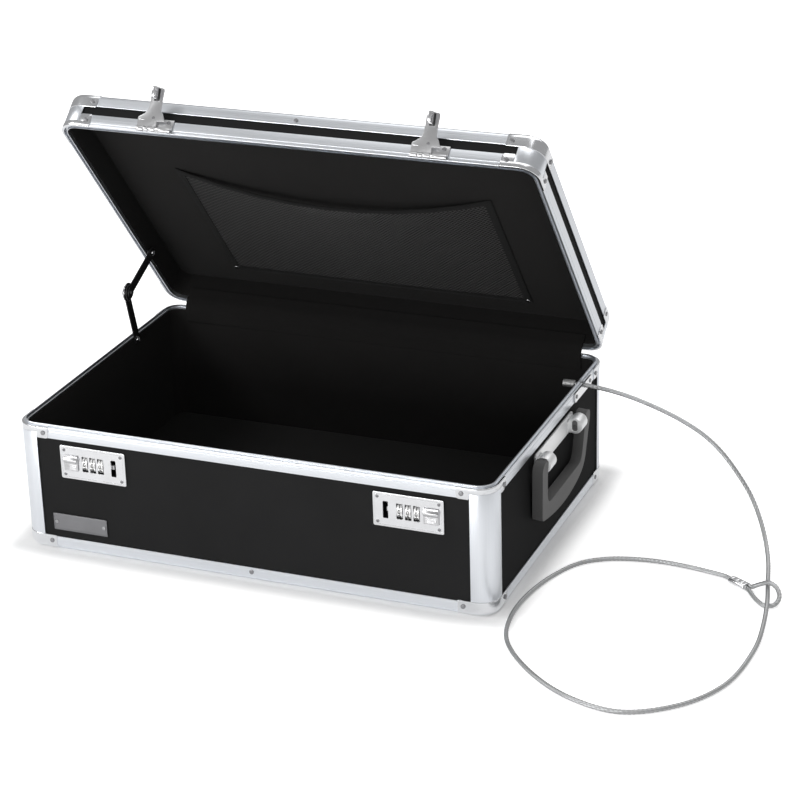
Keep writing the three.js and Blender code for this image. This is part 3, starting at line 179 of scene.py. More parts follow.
def laminateFinish():
    # black laminate skin with a very fine grain
    finish = Finish("blackLaminate", Specular_IOR_Level=0.012)
    where = finish.place()
    grain = finish.add("ShaderNodeTexVoronoi", Vector=where, Scale=1500.0)
    cloud = finish.noise(where, 14.0, 4.0)
    return finish.dress(cloud, (0.0155, 0.0155, 0.0158), (0.022, 0.022, 0.0224),
                        cloud * 0.1 + grain * 0.08 + 0.5, grain, 0.15, 0.0002)


def feltFinish(name, shade):
    # napped lining: fine fibres and faint patches where the nap lies over
    finish = Finish(name, Sheen_Weight=0.04, Sheen_Roughness=0.5, Specular_IOR_Level=0.1)
    where = finish.place()
    fibres = finish.noise(where, 2600.0, 4.0, 0.7)
    patches = finish.noise(where, 26.0, 4.0, 0.6)
    return finish.dress(fibres * 0.5 + patches * 0.5, dim(shade, 0.6), shade, fibres * 0.1 + 0.86,
                        fibres * 0.7 + patches * 0.6, 0.55, 0.0008)


def wireFinish():
    # drawn steel wires: bright, with painted shade making them grey where the bump is low, in the
    # hollows
    finish = Finish("ropeSteel", Metallic=1.0)
    where = finish.place()
    wires = finish.noise(where, 1400.0, 2.0)
    stain = finish.noise(where, 30.0)
    return finish.dress(wires * 0.6 + stain * 0.4, (0.30, 0.305, 0.31), (0.62, 0.625, 0.63),
                        wires * 0.15 + 0.3, wires, 0.35, 0.0002)


def plasticFinish(name, shade, rough, gloss=0.5):
    finish = Finish(name, Specular_IOR_Level=gloss)
    where = finish.place()
    cloud = finish.noise(where, 45.0, 4.0)
    pores = finish.noise(where, 1800.0, 2.0)
    return finish.dress(cloud, dim(shade, 0.8), shade, cloud * 0.12 + pores * 0.08 + rough,
                        pores * 0.5 + cloud * 0.5, 0.12, 0.0004)


def brushedFinish(name, shade, streak):
    finish = Finish(name, Metallic=1.0)
    lines = finish.noise(finish.place((0, 0, 0), streak), 1.0, 3.0, 0.7)
    wear = finish.noise(finish.place(), 70.0, 4.0)
    return finish.dress(lines * 0.6 + wear * 0.4, dim(shade, 0.62), shade,
                        lines * 0.2 + wear * 0.1 + 0.3, lines, 0.3, 0.0002)


lidMapping = (lidTurn, 0, 0)
railStreak = (3, 3, 1600)
postStreak = (900, 900, 3)
finishes = {
    "rail": aluminiumFinish("railAluminium", railStreak),
    # the lid's rails: the same aluminium, its colour darkened to 0.89 as painted shade
    "lidRail": aluminiumFinish("lidRailAluminium", railStreak, lidMapping, 0.89),
    "post": aluminiumFinish("postAluminium", postStreak),
    "lidPost": aluminiumFinish("lidPostAluminium", postStreak, lidMapping),
    "chrome": chromeFinish("chrome", (0.78, 0.79, 0.81), 0.1),
    "nickel": chromeFinish("satinNickel", (0.8, 0.805, 0.82), 0.14),
    "handleSteel": chromeFinish("handleSteel", (0.93, 0.935, 0.94), 0.42),
    "sleeve": chromeFinish("sleeveSteel", (0.5, 0.5, 0.5), 0.5),
    "washer": chromeFinish("washerSteel", (0.42, 0.42, 0.43), 0.2),
    "hasp": chromeFinish("haspSteel", (0.66, 0.66, 0.67), 0.22),
    "dial": chromeFinish("dialNickel", (0.8, 0.8, 0.8), 0.34),
    "screw": chromeFinish("screwSteel", (0.42, 0.42, 0.43), 0.25),
    "rivet": chromeFinish("rivetSteel", (0.3, 0.3, 0.31), 0.3),
    "laminate": laminateFinish(),
    "felt": feltFinish("blackFelt", (0.0165, 0.0158, 0.0155)),
    "net": plasticFinish("netThread", (0.08, 0.08, 0.08), 0.5),
    "hem": feltFinish("netHem", (0.014, 0.014, 0.014)),
    "wire": wireFinish(),
    "grip": plasticFinish("gripPlastic", (0.112, 0.111, 0.111), 0.42, 0.3),
    "bush": plasticFinish("pivotBush", (0.15, 0.15, 0.15), 0.5),
    "blackSteel": plasticFinish("blackenedSteel", (0.02, 0.02, 0.021), 0.32),
    "pewter": brushedFinish("pewter", (0.27, 0.27, 0.28), (60, 60, 2600)),
    "caseSteel": plasticFinish("lockCaseSteel", (0.03, 0.03, 0.032), 0.4),
    "ink": plasticFinish("dialInk", (0.02, 0.02, 0.02), 0.5),
}
print("materials made")

# modelling helpers, all in millimetres
mergeWithin = 0.004
cornerSteps = 14


def activate(piece):
    bpy.ops.object.select_all(action="DESELECT")
    piece.select_set(True)
    bpy.context.view_layer.objects.active = piece


def newest(name):
    # the object that the last operator made, under its name
    piece = bpy.context.object
    piece.name = name
    return piece


def settle(piece):
    # puts the piece's move, turn and scale into its mesh
    activate(piece)
    bpy.ops.object.transform_apply()
    return piece


def paint(finish, *pieces):
    for piece in pieces:
        piece.data.materials.append(finishes[finish])


def editAll(piece, *steps):
    # runs mesh operators on the whole piece in edit mode
    activate(piece)
    bpy.ops.object.mode_set(mode="EDIT")
    bpy.ops.mesh.select_all(action="SELECT")
    for step in steps:
        step()
    bpy.ops.object.mode_set(mode="OBJECT")
    return piece


def cutAcross(piece, place, normal, **options):
    editAll(piece, lambda: bpy.ops.mesh.bisect(plane_co=place, plane_no=normal, **options))


def faceOut():
    bpy.ops.mesh.select_all(action="SELECT")
    bpy.ops.mesh.normals_make_consistent(inside=False)


def tidyMesh(piece, fill=False):
    def clean():
        bpy.ops.mesh.remove_doubles(threshold=mergeWithin)
        if fill:
            bpy.ops.mesh.fill_holes(sides=0)
    return editAll(piece, clean, faceOut)


def drawLoop(name, points):
    # a closed loop of edges through the points
    bpy.ops.mesh.primitive_circle_add(vertices=len(points), radius=1)
    loop = newest(name)
    for vertex, point in zip(loop.data.vertices, points):
        vertex.co = point
    return loop


def slab(name, points, depth):
    # a flat plate: an outline filled and pulled out by depth
    def pull():
        bpy.ops.mesh.edge_face_add()
        bpy.ops.mesh.extrude_region_move(TRANSFORM_OT_translate={"value": depth})
    return editAll(drawLoop(name, points), pull, faceOut)


def sweepLoop(loop, legs):
    # pulls the loop along straight legs (a vector) and round corners (a centre)
    def pull():
        for kind, leg in legs:
            if kind == "along":
                bpy.ops.mesh.extrude_edges_move(TRANSFORM_OT_translate={"value": leg})
            else:
                bpy.ops.mesh.spin(steps=cornerSteps, angle=-quarter, center=leg, axis=(0, 0, 1))
    return editAll(loop, pull)


def ringRail(name, section, height):
    # a rail all round the case; section points are (inwards, up)
    x, y = halfWidth - cornerRadius, halfDepth - cornerRadius
    loop = drawLoop(name, [(-x, -halfDepth + t, height + w) for t, w in section])
    legs = []
    for along, centre in (((2 * x, 0, 0), (x, -y, 0)), ((0, 2 * y, 0), (x, y, 0)),
                          ((-2 * x, 0, 0), (-x, y, 0)), ((0, -2 * y, 0), (-x, -y, 0))):
        legs += [("along", along), ("round", centre)]
    return tidyMesh(sweepLoop(loop, legs))


def toCorner(piece, signX, signY):
    # mirrors a piece of the front right corner into another corner
    piece.scale = (signX, -signY, 1)
    return tidyMesh(settle(piece))


def cornerRun(name, section, arm):
    # the section round the front right corner, with an arm of this length on each side of it
    x, y = halfWidth - cornerRadius, halfDepth - cornerRadius
    loop = drawLoop(name, [(x - arm, -halfDepth + t, w) for t, w in section])
    sweepLoop(loop, [("along", (arm, 0, 0)), ("round", (x, -y, 0)), ("along", (0, arm, 0))])
    return tidyMesh(loop, fill=True)


def block(name, low, high):
    bpy.ops.mesh.primitive_cube_add(size=1, location=[(a + b) / 2 for a, b in zip(low, high)])
    piece = newest(name)
    piece.scale = [b - a for a, b in zip(low, high)]
    return settle(piece)


def rod(name, axis, radius, start, end, place, facets=32):
    # a cylinder along an axis; place is the other two coordinates
    middle = (start + end) / 2
    centre = {"x": (middle, *place), "y": (place[0], middle, place[1]), "z": (*place, middle)}[axis]
    turn = {"x": (0, quarter, 0), "y": (quarter, 0, 0), "z": (0, 0, 0)}[axis]
    bpy.ops.mesh.primitive_cylinder_add(vertices=facets, radius=radius, depth=abs(end - start),
                                        location=centre, rotation=turn)
    return settle(newest(name))


def modify(piece, kind, **settings):
    # adds a modifier and applies it
    activate(piece)
    modifier = piece.modifiers.new("step", kind)
    for setting, value in settings.items():
        setattr(modifier, setting, value)
    bpy.ops.object.modifier_apply(modifier="step")
    return piece


def carve(piece, *cutters):
    for cutter in cutters:
        modify(piece, "BOOLEAN", operation="DIFFERENCE", solver="EXACT", object=cutter)
        bpy.data.objects.remove(cutter, do_unlink=True)
    return piece


def soften(piece, width, segments=2, angle=30):
    # rounds the piece's sharp edges
    return modify(piece, "BEVEL", width=width, segments=segments, limit_method="ANGLE",
                  angle_limit=math.radians(angle))


def unite(piece, *others):
    # puts several meshes in one object
    activate(piece)
    for other in others:
        other.select_set(True)
    bpy.ops.object.join()
    return piece


def copyOf(piece, name):
    copy = piece.copy()
    copy.data = piece.data.copy()
    copy.name = name
    bpy.context.scene.collection.objects.link(copy)
    return copy


def pick(piece, kind, test):
    # leaves the piece in edit mode with only the wanted faces or edges selected
    activate(piece)
    bpy.ops.object.mode_set(mode="EDIT")
    bpy.ops.mesh.select_mode(type=kind)
    bpy.ops.mesh.select_all(action="DESELECT")
    bpy.ops.object.mode_set(mode="OBJECT")
    for item in piece.data.polygons if kind == "FACE" else piece.data.edges:
        item.select = test(item)
    bpy.ops.object.mode_set(mode="EDIT")


def endEdit():
    bpy.ops.mesh.select_mode(type="VERT")
    bpy.ops.object.mode_set(mode="OBJECT")


def roundedBox(length, width, radius, steps, first=0):
    # a rectangle's outline with rounded corners, from the first corner round
    points = []
    for number in range(first, first + 4):
        signX, signZ = ((1, 1), (-1, 1), (-1, -1), (1, -1))[number % 4]
        for step in range(steps + 1):
            angle = (number + step / steps) * quarter
            points.append((signX * (length / 2 - radius) + radius * math.cos(angle),
                           signZ * (width / 2 - radius) + radius * math.sin(angle)))
    return points


def roundPlate(name, centre, length, width, radius, back, thick, steps=5):
    # a plate facing -y, with rounded corners
    points = [(centre[0] + x, back, centre[1] + z) for x, z in roundedBox(length, width, radius, steps)]
    return slab(name, points, (0, -thick, 0))


def finishPiece(piece, body, finish=None, stands=(), smooth=35):
    # scales the piece to metres, tips it with the lid, dresses it and fixes it to its body
    tilt = lidTilt if body in lidBodies else Matrix.Identity(4)
    piece.matrix_world = Matrix.Scale(0.001, 4) @ tilt @ piece.matrix_world
    settle(piece)
    bpy.ops.object.shade_smooth_by_angle(angle=math.radians(smooth))
    if finish:
        piece.data.materials.clear()
        paint(finish, piece)
    piece.data.name = piece.name
    if stands:
        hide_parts(*stands)
    if body:
        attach(piece, body)
    return piece


# the tether comes first
tether = {"radius": 2.0, "drop": 3.0, "start": halfWidth - caseSize["wall"] - 2, "notchY": 90.0,
          "notchRadius": 2.6, "notchDeep": 5.5, "ferruleTurn": -30.0, "ferruleLength": 18.0,
          "ferruleWidth": 9.6, "ferruleHeight": 5.6, "pressAt": (-5.4, 0, 5.4), "pressRadius": 2.6,
          "pressReach": 2.15, "stopRadius": 3.3, "stopLength": 11.0, "crimpAt": (8.0, 3.2),
          "crimpRing": 3.6, "crimpWire": 0.55, "spread": 2.4, "lead": 2.6, "lay": 22.0, "step": 1.3,
          "strands": 6}
ropeZ = baseTop - tether["drop"]
ropeRoute = [
    (tether["start"], 90, ropeZ), (halfWidth + 2, 90, ropeZ), (246, 90, 113), (268, 88.4, 109.5),
    (294, 85, 103.5), (318, 81.5, 95.8), (338.5, 77.5, 86.8), (354.5, 72.5, 76.6), (371, 65, 62.5),
    (387, 54.5, 46.8), (399.5, 40.5, 32), (409, 24, 19.8), (417, 2.5, 11.5), (424.5, -28, 6.7),
    (432, -60, 7), (437.5, -95, 3.3), (440.5, -137, 2.3), (432.7, -199.5, 2.3), (407.7, -241, 2.3),
    (366.8, -266.4, 2.3), (323.5, -258.5, 2.3), (280.6, -229.7, 2.3), (246, -187, 2.3),
    (235.5, -148, 2.3), (236, -105, 2.3), (246, -62.9, 2.3), (260.5, -34.5, 2.3), (281, -19.6, 2.3),
    (304, -12.7, 2.3), (326.4, -10.4, 2.3), (349.9, -11.9, 2.3), (372.4, -16.1, 2.5),
    (384.6, -19.7, 2.9), (391.6, -23.6, 3)]
ropeEnd = Vector(ropeRoute[-1])
ferruleAngle = math.radians(tether["ferruleTurn"])
ferruleAlong = Vector((math.cos(ferruleAngle), math.sin(ferruleAngle), 0))
ferruleAcross = Vector((-ferruleAlong.y, ferruleAlong.x, 0))
ferruleReach = ferruleAlong * (tether["ferruleLength"] / 2 + gap)
ferruleMiddle = ropeEnd + ferruleReach
eyeFar, eyeNear = (ferruleMiddle + ferruleReach + ferruleAcross * side * tether["spread"]
                   for side in (1, -1))
eyeRoute = [eyeFar, eyeFar + ferruleAlong * tether["lead"], (419.5, -33.5, 7.6), (427.5, -36.2, 11.6),
            (435.6, -41.5, 10.2), (439.6, -49.5, 6), (437.6, -57.8, 3.2), (430.6, -60.6, 2.3),
            (420.6, -52.4, 2.4), eyeNear + ferruleAlong * tether["lead"], eyeNear]


fineStep = 0.5


def between(a, b, low, high, t):
    return a * ((high - t) / (high - low)) + b * ((t - low) / (high - low))


def smoothRoute(points, step):
    # points every step along a centripetal Catmull-Rom curve, and its length
    points = [Vector(p) for p in points]
    ends = [2 * points[0] - points[1], *points, 2 * points[-1] - points[-2]]
    fine = []
    for four in zip(ends, ends[1:], ends[2:], ends[3:]):
        knots = [0.0]
        for a, b in zip(four, four[1:]):
            knots.append(knots[-1] + max((b - a).length, 1e-6) ** 0.5)
        count = max(2, round((four[2] - four[1]).length / fineStep))
        for number in range(count):
            t = knots[1] + (knots[2] - knots[1]) * number / count
            one, two, three = (between(*pair, t) for pair in zip(four, four[1:], knots, knots[1:]))
            early = between(one, two, knots[0], knots[2], t)
            late = between(two, three, knots[1], knots[3], t)
            fine.append(between(early, late, knots[1], knots[2], t))
    fine.append(points[-1])
    length = sum((b - a).length for a, b in zip(fine, fine[1:]))
    wanted = max(2, round(length / step))
    even, walked, target = [fine[0]], 0.0, length / wanted
    for a, b in zip(fine, fine[1:]):
        gone = (b - a).length
        while walked + gone >= target * len(even) and len(even) < wanted:
            even.append(a.lerp(b, (target * len(even) - walked) / gone))
        walked += gone
    even.append(fine[-1])
    return even, length


def drawCurve(name, dimensions, places):
    curve = bpy.data.curves.new(name, "CURVE")
    curve.dimensions = dimensions
    spline = curve.splines.new("POLY")
    spline.points.add(len(places) - 1)
    for point, place in zip(spline.points, places):
        point.co = (*place, 1)
    drawn = bpy.data.objects.new(name, curve)
    bpy.context.scene.collection.objects.link(drawn)
    return drawn


def wireRope(name, route):
    # six strands laid round each other: a lobed section twisted along the route
    line, length = smoothRoute(route, tether["step"])
    strand = tether["radius"] / 3
    lobes = []
    for number in range(tether["strands"]):
        middle = number * math.tau / tether["strands"]
        for turn in (-60, -30, 0, 30, 60):
            angle = middle + math.radians(turn)
            lobes.append((strand * (2 * math.cos(middle) + math.cos(angle)),
                          strand * (2 * math.sin(middle) + math.sin(angle)), 0))
    section = drawCurve(name + "Section", "2D", lobes)
    section.data.splines[0].use_cyclic_u = True
    rope = drawCurve(name, "3D", line)
    rope.data.bevel_mode = "OBJECT"
    rope.data.bevel_object = section
    rope.data.use_fill_caps = True
    for number, point in enumerate(rope.data.splines[0].points):
        point.tilt = number * math.tau * length / (len(line) - 1) / tether["lay"]
    activate(rope)
    bpy.ops.object.convert(target="MESH")
    bpy.data.objects.remove(section, do_unlink=True)
    return bpy.context.object, line, length


def makeTether():
    rope, line, length = wireRope("tetherRope", ropeRoute)
    finishPiece(rope, "base", "wire", ("tether_rope",), smooth=60)
    eye, _, eyeLength = wireRope("tetherEye", eyeRoute)
    finishPiece(eye, "base", "wire", ("tether_eye",), smooth=60)
    print("rope", round(length, 1), "eye", round(eyeLength, 1))

    # ferrule: an oval sleeve, pressed flat in three places
    half, wide, tall = (tether[key] / 2 for key in ("ferruleLength", "ferruleWidth", "ferruleHeight"))
    sleeve = rod("tetherFerrule", "x", 1, -half, half, (0, 0))
    editAll(sleeve, lambda: bpy.ops.transform.resize(value=(1, wide, tall)))
    soften(sleeve, 0.5, 3, 60)
    carve(sleeve, *(rod("press", "y", tether["pressRadius"], -8, 8,
                        (x, up * (tall + tether["pressReach"])), 24)
                    for x in tether["pressAt"] for up in (-1, 1)))
    turn = Matrix((ferruleAlong, ferruleAcross, (0, 0, 1))).transposed().to_4x4()
    sleeve.matrix_world = Matrix.Translation((ferruleMiddle.x, ferruleMiddle.y, ropeEnd.z)) @ turn
    finishPiece(sleeve, "base", "nickel", ("tether_ferrule",))

    # stop sleeve on the inner end, with two crimps
    stopEnd = tether["start"] - gap
    stop = rod("tetherStopSleeve", "x", tether["stopRadius"], stopEnd - tether["stopLength"], stopEnd,
               (tether["notchY"], ropeZ))
    soften(stop, 0.6, 3, 60)
    for inwards in tether["crimpAt"]:
        bpy.ops.mesh.primitive_torus_add(
            location=(stopEnd - inwards, tether["notchY"], ropeZ), rotation=(0, quarter, 0),
            major_radius=tether["crimpRing"], minor_radius=tether["crimpWire"],
            major_segments=32, minor_segments=10)
        carve(stop, newest("crimp"))
    finishPiece(stop, "base", "sleeve", ("tether_stop_sleeve",))
    routeMetres = [tuple(p * 0.001) for p in line]
    length / 1000
    2 * tether["radius"] / 1000


makeTether()
print("tether made")

# rails, brackets and posts
rails = {"rimFlange": 10.1, "bottomFlange": 12.2, "lidRimFlange": 12.6, "lidTopFlange": 12.8,
         "skin": 1.0, "web": 1.8, "inner": 5.2, "tongueOut": 2.5, "tongueIn": 3.8, "tongueUp": 2.0,
         "tongueCut": 0.3, "slack": 0.6, "edgeRadius": 5.0, "edgeSteps": 8, "under": 13.0,
         "post": 20.4, "postProud": 0.3, "middleRivet": 4.2}
corners = {"FrontRight": (1, -1), "BackRight": (1, 1), "BackLeft": (-1, 1), "FrontLeft": (-1, -1)}
snake = {"FrontRight": "front_right", "BackRight": "back_right", "BackLeft": "back_left",
         "FrontLeft": "front_left"}


def railFace(flange, edge, up):
    # the outer face of a rail, from its flange to its edge, with one drawing line near the edge
    face = [(1.0, flange), (0.25, flange), (0.06, flange - 0.1), (0, flange - 0.35), (0, 3.75),
            (0.28, 3.5), (0.36, 3.1), (0.28, 2.7), (0, 2.45), (0, 1.0), (0.1, 0.5), (0.4, 0.14),
            (0.9, 0)]
    return [(t, edge + up * w) for t, w in face]


def edgeSection(flange, up, outside=0.0, reach=rails["under"]):
    # a rounded edge profile: over the outer round, under, back over the inner round, to the flange
    radius, skin, steps = rails["edgeRadius"], rails["skin"], rails["edgeSteps"]
    arc = [(math.cos(step / steps * quarter), math.sin(step / steps * quarter))
           for step in range(steps + 1)]
    full, hollow = radius + outside, radius - skin
    points = [(radius - full * c, max(radius - full * s, 0)) for c, s in arc]
    points += [(reach, 0), (reach, skin)]
    points += [(radius - hollow * c, radius - hollow * s) for c, s in arc[::-1]]
    points += [(skin, flange), (0.25 - outside, flange), (-outside, flange - 0.3)]
    return [(t, w * up) for t, w in points]


def notchCutters():
    # the U-shaped notch for the rope, through the right rim and the wall
    y, radius = tether["notchY"], tether["notchRadius"]
    centre = baseTop - tether["notchDeep"] + radius
    inside, outside = tether["start"], halfWidth + 4
    return [rod("notch", "x", radius, inside, outside, (y, centre), 24),
            block("notch", (inside, y - radius, centre), (outside, y + radius, baseTop + 4))]


def makeRails():
    inner, web, skin, cut = (rails[key] for key in ("inner", "web", "skin", "tongueCut"))
    out, into, up, slack = (rails[key] for key in ("tongueOut", "tongueIn", "tongueUp", "slack"))
    baseRim = railFace(rails["rimFlange"], 0, -1) + [
        (1.3, 0), (out, 0), (out, up - cut), (out + cut, up), (into - cut, up), (into, up - cut),
        (into, 0), (inner, -0.3), (inner, -web), (skin, -web)]
    roof = up + slack
    lidRim = railFace(rails["lidRimFlange"] - gap, gap, 1) + [
        (1.3, gap), (out - slack, gap), (out - slack, roof), (into + slack, roof), (into + slack, gap),
        (inner, gap + 0.2), (inner, roof + web), (skin, roof + web)]
    for name, body, section, height, stands in (
            ("baseRimRail", "base", baseRim, baseTop, "base_rim_frame"),
            ("lidRimRail", "lid", lidRim, baseTop, "lid_rim_frame"),
            ("baseBottomRail", "base", edgeSection(rails["bottomFlange"], 1), 0, "base_bottom_frame"),
            ("lidTopRail", "lid", edgeSection(rails["lidTopFlange"], -1), lidTop, "lid_top_frame")):
        piece = ringRail(name, section, height)
        if section is baseRim:
            carve(piece, *notchCutters())
        finishPiece(piece, body, "lidRail" if body == "lid" else "rail", (stands,))


def makePosts():
    lip = bracket["lip"] + 0.2
    spans = {"base": (rails["bottomFlange"] + gap, baseTop - lip, "post"),
             "lid": (baseTop + gap + lip, lidTop - rails["lidTopFlange"] - gap, "lidPost")}
    out, into = -rails["postProud"], rails["skin"]
    for half, (low, high, finish) in spans.items():
        section = [(out, low), (into, low), (into, high), (out, high)]
        for corner, signs in corners.items():
            post = cornerRun(half + "Post" + corner, section, rails["post"] - cornerRadius)
            soften(toCorner(post, *signs), 0.28)
            finishPiece(post, half, finish, (half + "_corner_post_" + snake[corner],))


bracket = {"proud": 0.6, "arm": 32.0, "lip": 5.0, "tabFrom": 20.9, "tabProud": 0.5, "tabRadius": 2.6,
           "rivetAt": 27.2, "rise": 1.2}
# radius, height, finish and depth of the cross recess
heads = {"bracket": (2.15, 0.85, "rivet", 0), "leaf": (1.9, 0.7, "rivet", 0),
         "lockScrew": (1.5, 0.7, "rivet", 0.4), "stapleBack": (1.4, 0.4, "rivet", 0),
         "stapleFront": (1.4, 0.4, "hasp", 0), "namePlate": (1.7, 0.8, "screw", 0),
         "net": (2.3, 0.8, "nickel", 0), "stayScrew": (2.8, 1.7, "nickel", 0.6),
         "stayButton": (1.7, 0.45, "handleSteel", 0)}
recess = {"reach": 0.62, "half": 0.14, "turn": 0.4}


def rivetHead(place, normal, kind):
    # a domed head standing on a face; place is the middle of its foot
    radius, height, finish, cross = heads[kind]
    head = rod("rivetHead", "z", radius, -0.3, height, (0, 0), 28)
    soften(head, min(height * 0.8, radius * 0.45), 4, 60)
    if cross:
        reach, half = radius * recess["reach"], radius * recess["half"]
        for turn in (recess["turn"], recess["turn"] + quarter):
            slot = block("recess", (-reach, -half, height - cross), (reach, half, height + 1))
            slot.matrix_world = Matrix.Rotation(turn, 4, "Z")
            carve(head, slot)
    aim = Vector(normal).to_track_quat("Z", "Y").to_matrix().to_4x4()
    head.matrix_world = Matrix.Translation(place) @ aim
    settle(head)
    paint(finish, head)
    return head


def roundedTab(near, far, low, high):
    # an outline whose far end is rounded; the first coordinate runs from near to far
    radius = bracket["tabRadius"]
    side = 1 if far > near else -1
    points = [(near, low)]
    for centre, start in ((low + radius, -quarter), (high - radius, 0)):
        for step in range(7):
            angle = start + step / 6 * quarter
            points.append((far + side * radius * (math.cos(angle) - 1),
                           centre + radius * math.sin(angle)))
    return points + [(near, high)]


def rimBracket(edge, up, flange):
    # front right corner: a thin lip wrapped round the rim's edge, with a riveted tab on each side
    lip = [(1.3, -0.1), (-0.1, -0.1), (-0.42, 0.08), (-0.6, 0.45), (-0.6, bracket["lip"] - 0.3),
           (-0.45, bracket["lip"]), (0.1, bracket["lip"]), (0.1, 0.2), (1.3, 0.2)]
    piece = cornerRun("bracket", [(t, edge + up * w) for t, w in lip], bracket["arm"] - cornerRadius)
    low, high = sorted((edge + up * 0.3, edge + up * (flange + 0.4)))
    proud, near, far = (bracket[key] for key in ("tabProud", "tabFrom", "arm"))
    front = slab("tab", [(x, -halfDepth - proud, z) for x, z in
                         roundedTab(halfWidth - near, halfWidth - far, low, high)], (0, proud + 0.1, 0))
    side = slab("tab", [(halfWidth + proud, y, z) for y, z in
                        roundedTab(near - halfDepth, far - halfDepth, low, high)], (-proud - 0.1, 0, 0))
    for tab in (front, side):
        soften(tab, 0.22)
    return [piece, front, side], (low + high) / 2


def edgeBracket(flange, up, height):
    # front right corner: a band over the rounded edge, its arms rising just above the rail
    section = edgeSection(flange + bracket["rise"], 1, bracket["proud"], rails["edgeRadius"] + 2)
    piece = cornerRun("bracket", [(t, height + up * w) for t, w in section],
                      bracket["arm"] - cornerRadius)
    return [soften(piece, 0.2, 2, 50)], height + up * (flange - rails["middleRivet"])


def makeBrackets():
    kinds = {
        "baseRim": (rimBracket(baseTop, -1, rails["rimFlange"]), "base", "tabProud"),
        "lidRim": (rimBracket(baseTop + gap, 1, rails["lidRimFlange"] - gap), "lid", "tabProud"),
        "baseBottom": (edgeBracket(rails["bottomFlange"], 1, 0), "base", "proud"),
        "lidTop": (edgeBracket(rails["lidTopFlange"], -1, lidTop), "lid", "proud"),
    }
    inset = bracket["rivetAt"]
    for kind, ((parts, z), body, proud) in kinds.items():
        paint("chrome", *parts)
        stand = bracket[proud]
        parts.append(rivetHead((halfWidth - inset, -halfDepth - stand, z), (0, -1, 0), "bracket"))
        parts.append(rivetHead((halfWidth + stand, inset - halfDepth, z), (1, 0, 0), "bracket"))
        first = unite(*parts)
        for corner, signs in corners.items():
            finishPiece(toCorner(copyOf(first, kind + "Bracket" + corner), *signs), body)
        bpy.data.objects.remove(first, do_unlink=True)
    for body, z in (("base", rails["bottomFlange"] - rails["middleRivet"]),
                    ("lid", lidTop - rails["lidTopFlange"] + rails["middleRivet"])):
        for face, name in ((-1, "FrontMiddleRivet"), (1, "BackMiddleRivet")):
            head = rivetHead((0, face * halfDepth, z), (0, face, 0), "bracket")
            head.name = body + name
            finishPiece(head, body)


makeRails()
makePosts()
makeBrackets()
print("rails, posts and brackets made")

# locks: their sizes come before the linings, which leave room for them
lock = {"middle": 147.8, "height": 87.7, "length": 63.5, "width": 31.5, "thick": 1.6,
        "screwInset": 4.2, "grooveInset": (1.8, 2.2), "grooveDeep": 0.14, "slotOffset": 20.3,
        "slotWidth": 4.8, "slotLength": 15.6, "pitch": 7.6, "dialRadius": 7.6, "dialWidth": 5.0,
        "windowWidth": 5.8, "windowHeight": 14.6, "shaft": 1.8, "slideOffset": 20.9,
        "slideWidth": 13.6, "slideLength": 14.4, "stem": 4.0, "travel": 3.5, "plate": 1.2,
        "ridge": 3.4, "back": -151.4, "face": -153.0, "dialY": -146.7, "bar": 1.9, "barTop": 10.0,
        "ribs": (0.18, 0.33, 0.48, 0.63, 0.78), "ribInset": 1.4, "ribHalf": 0.3,
        "digitSize": 5.254, "digitBold": 0.06, "digitLift": 0.04, "digitThick": 0.14,
        "notchOut": 0.35, "notchRadius": 0.75,
        "shown": {"left": (0, 0, 0), "right": (0, 0, 0)}}

# linings
lining = {"outer": 4.3, "inner": 5.5, "low": 4.8, "pad": 1.5, "plan": 5.8, "middle": 4.9,
          "opening": (29.1, 12.1), "openingDeep": 9}


def feltRing(name, low, high):
    out, into = lining["outer"], lining["inner"]
    return ringRail(name, [(out, low), (into - 0.3, low), (into, low + 0.3), (into, high - 0.6),
                           (into - 0.25, high - 0.15), (into - 0.6, high), (out, high)], 0)


def feltPad(name, low):
    inset, tall = lining["plan"], lining["pad"]
    outline = roundedBox(caseSize["width"] - 2 * inset, caseSize["depth"] - 2 * inset,
                         cornerRadius - inset, 10, -1)
    return soften(slab(name, [(x, y, low) for x, y in outline], (0, 0, tall)), 0.55, 3)


def makeLinings():
    rimLow = baseTop - rails["web"] - gap
    ring = feltRing("baseWallLining", lining["low"], rimLow)
    across, up = lining["opening"]
    holes = [block("opening", (side * lock["middle"] - across, -halfDepth, lock["height"] - up),
                   (side * lock["middle"] + across, lining["openingDeep"] - halfDepth,
                    lock["height"] + up)) for side in (-1, 1)]
    carve(ring, *holes, *notchCutters())
    finishPiece(ring, "base", "felt", ("base_wall_lining",))
    around = (4 * (halfWidth + halfDepth - 2 * cornerRadius)
              + math.tau * (cornerRadius - lining["middle"]))
    tall = rimLow - lining["low"]
    around / 1000
    tall / 1000
    pad = finishPiece(feltPad("baseFloorLining", lining["low"]), "base", "felt", ("base_floor_lining",))
    floorSize = [(size - 2 * lining["plan"]) / 1000 for size in (caseSize["width"], caseSize["depth"])]
    roof = lidTop - lining["low"]
    low = baseTop + rails["tongueUp"] + rails["slack"] + rails["web"] + gap
    lidRing = finishPiece(feltRing("lidWallLining", low, roof), "lid", "felt", ("lid_wall_lining",))
    around / 1000
    (roof - low) / 1000
    lidPad = finishPiece(feltPad("lidTopLining", roof - lining["pad"]), "lid", "felt",
                         ("lid_top_lining",))


hingeCloth = {"fromEnd": 20.25, "thick": 1.0, "reach": 13.0, "columns": 90, "foldUp": 4.0,
              "foldTall": 6.0, "foldOut": 0.27, "step": 1.4,
              "ripples": ((0.225, 17.3, 0.0), (0.162, 7.1, 1.3))}


def tipped(y, z):
    place = lidTilt @ Vector((0, y, z))
    return place.y, place.z


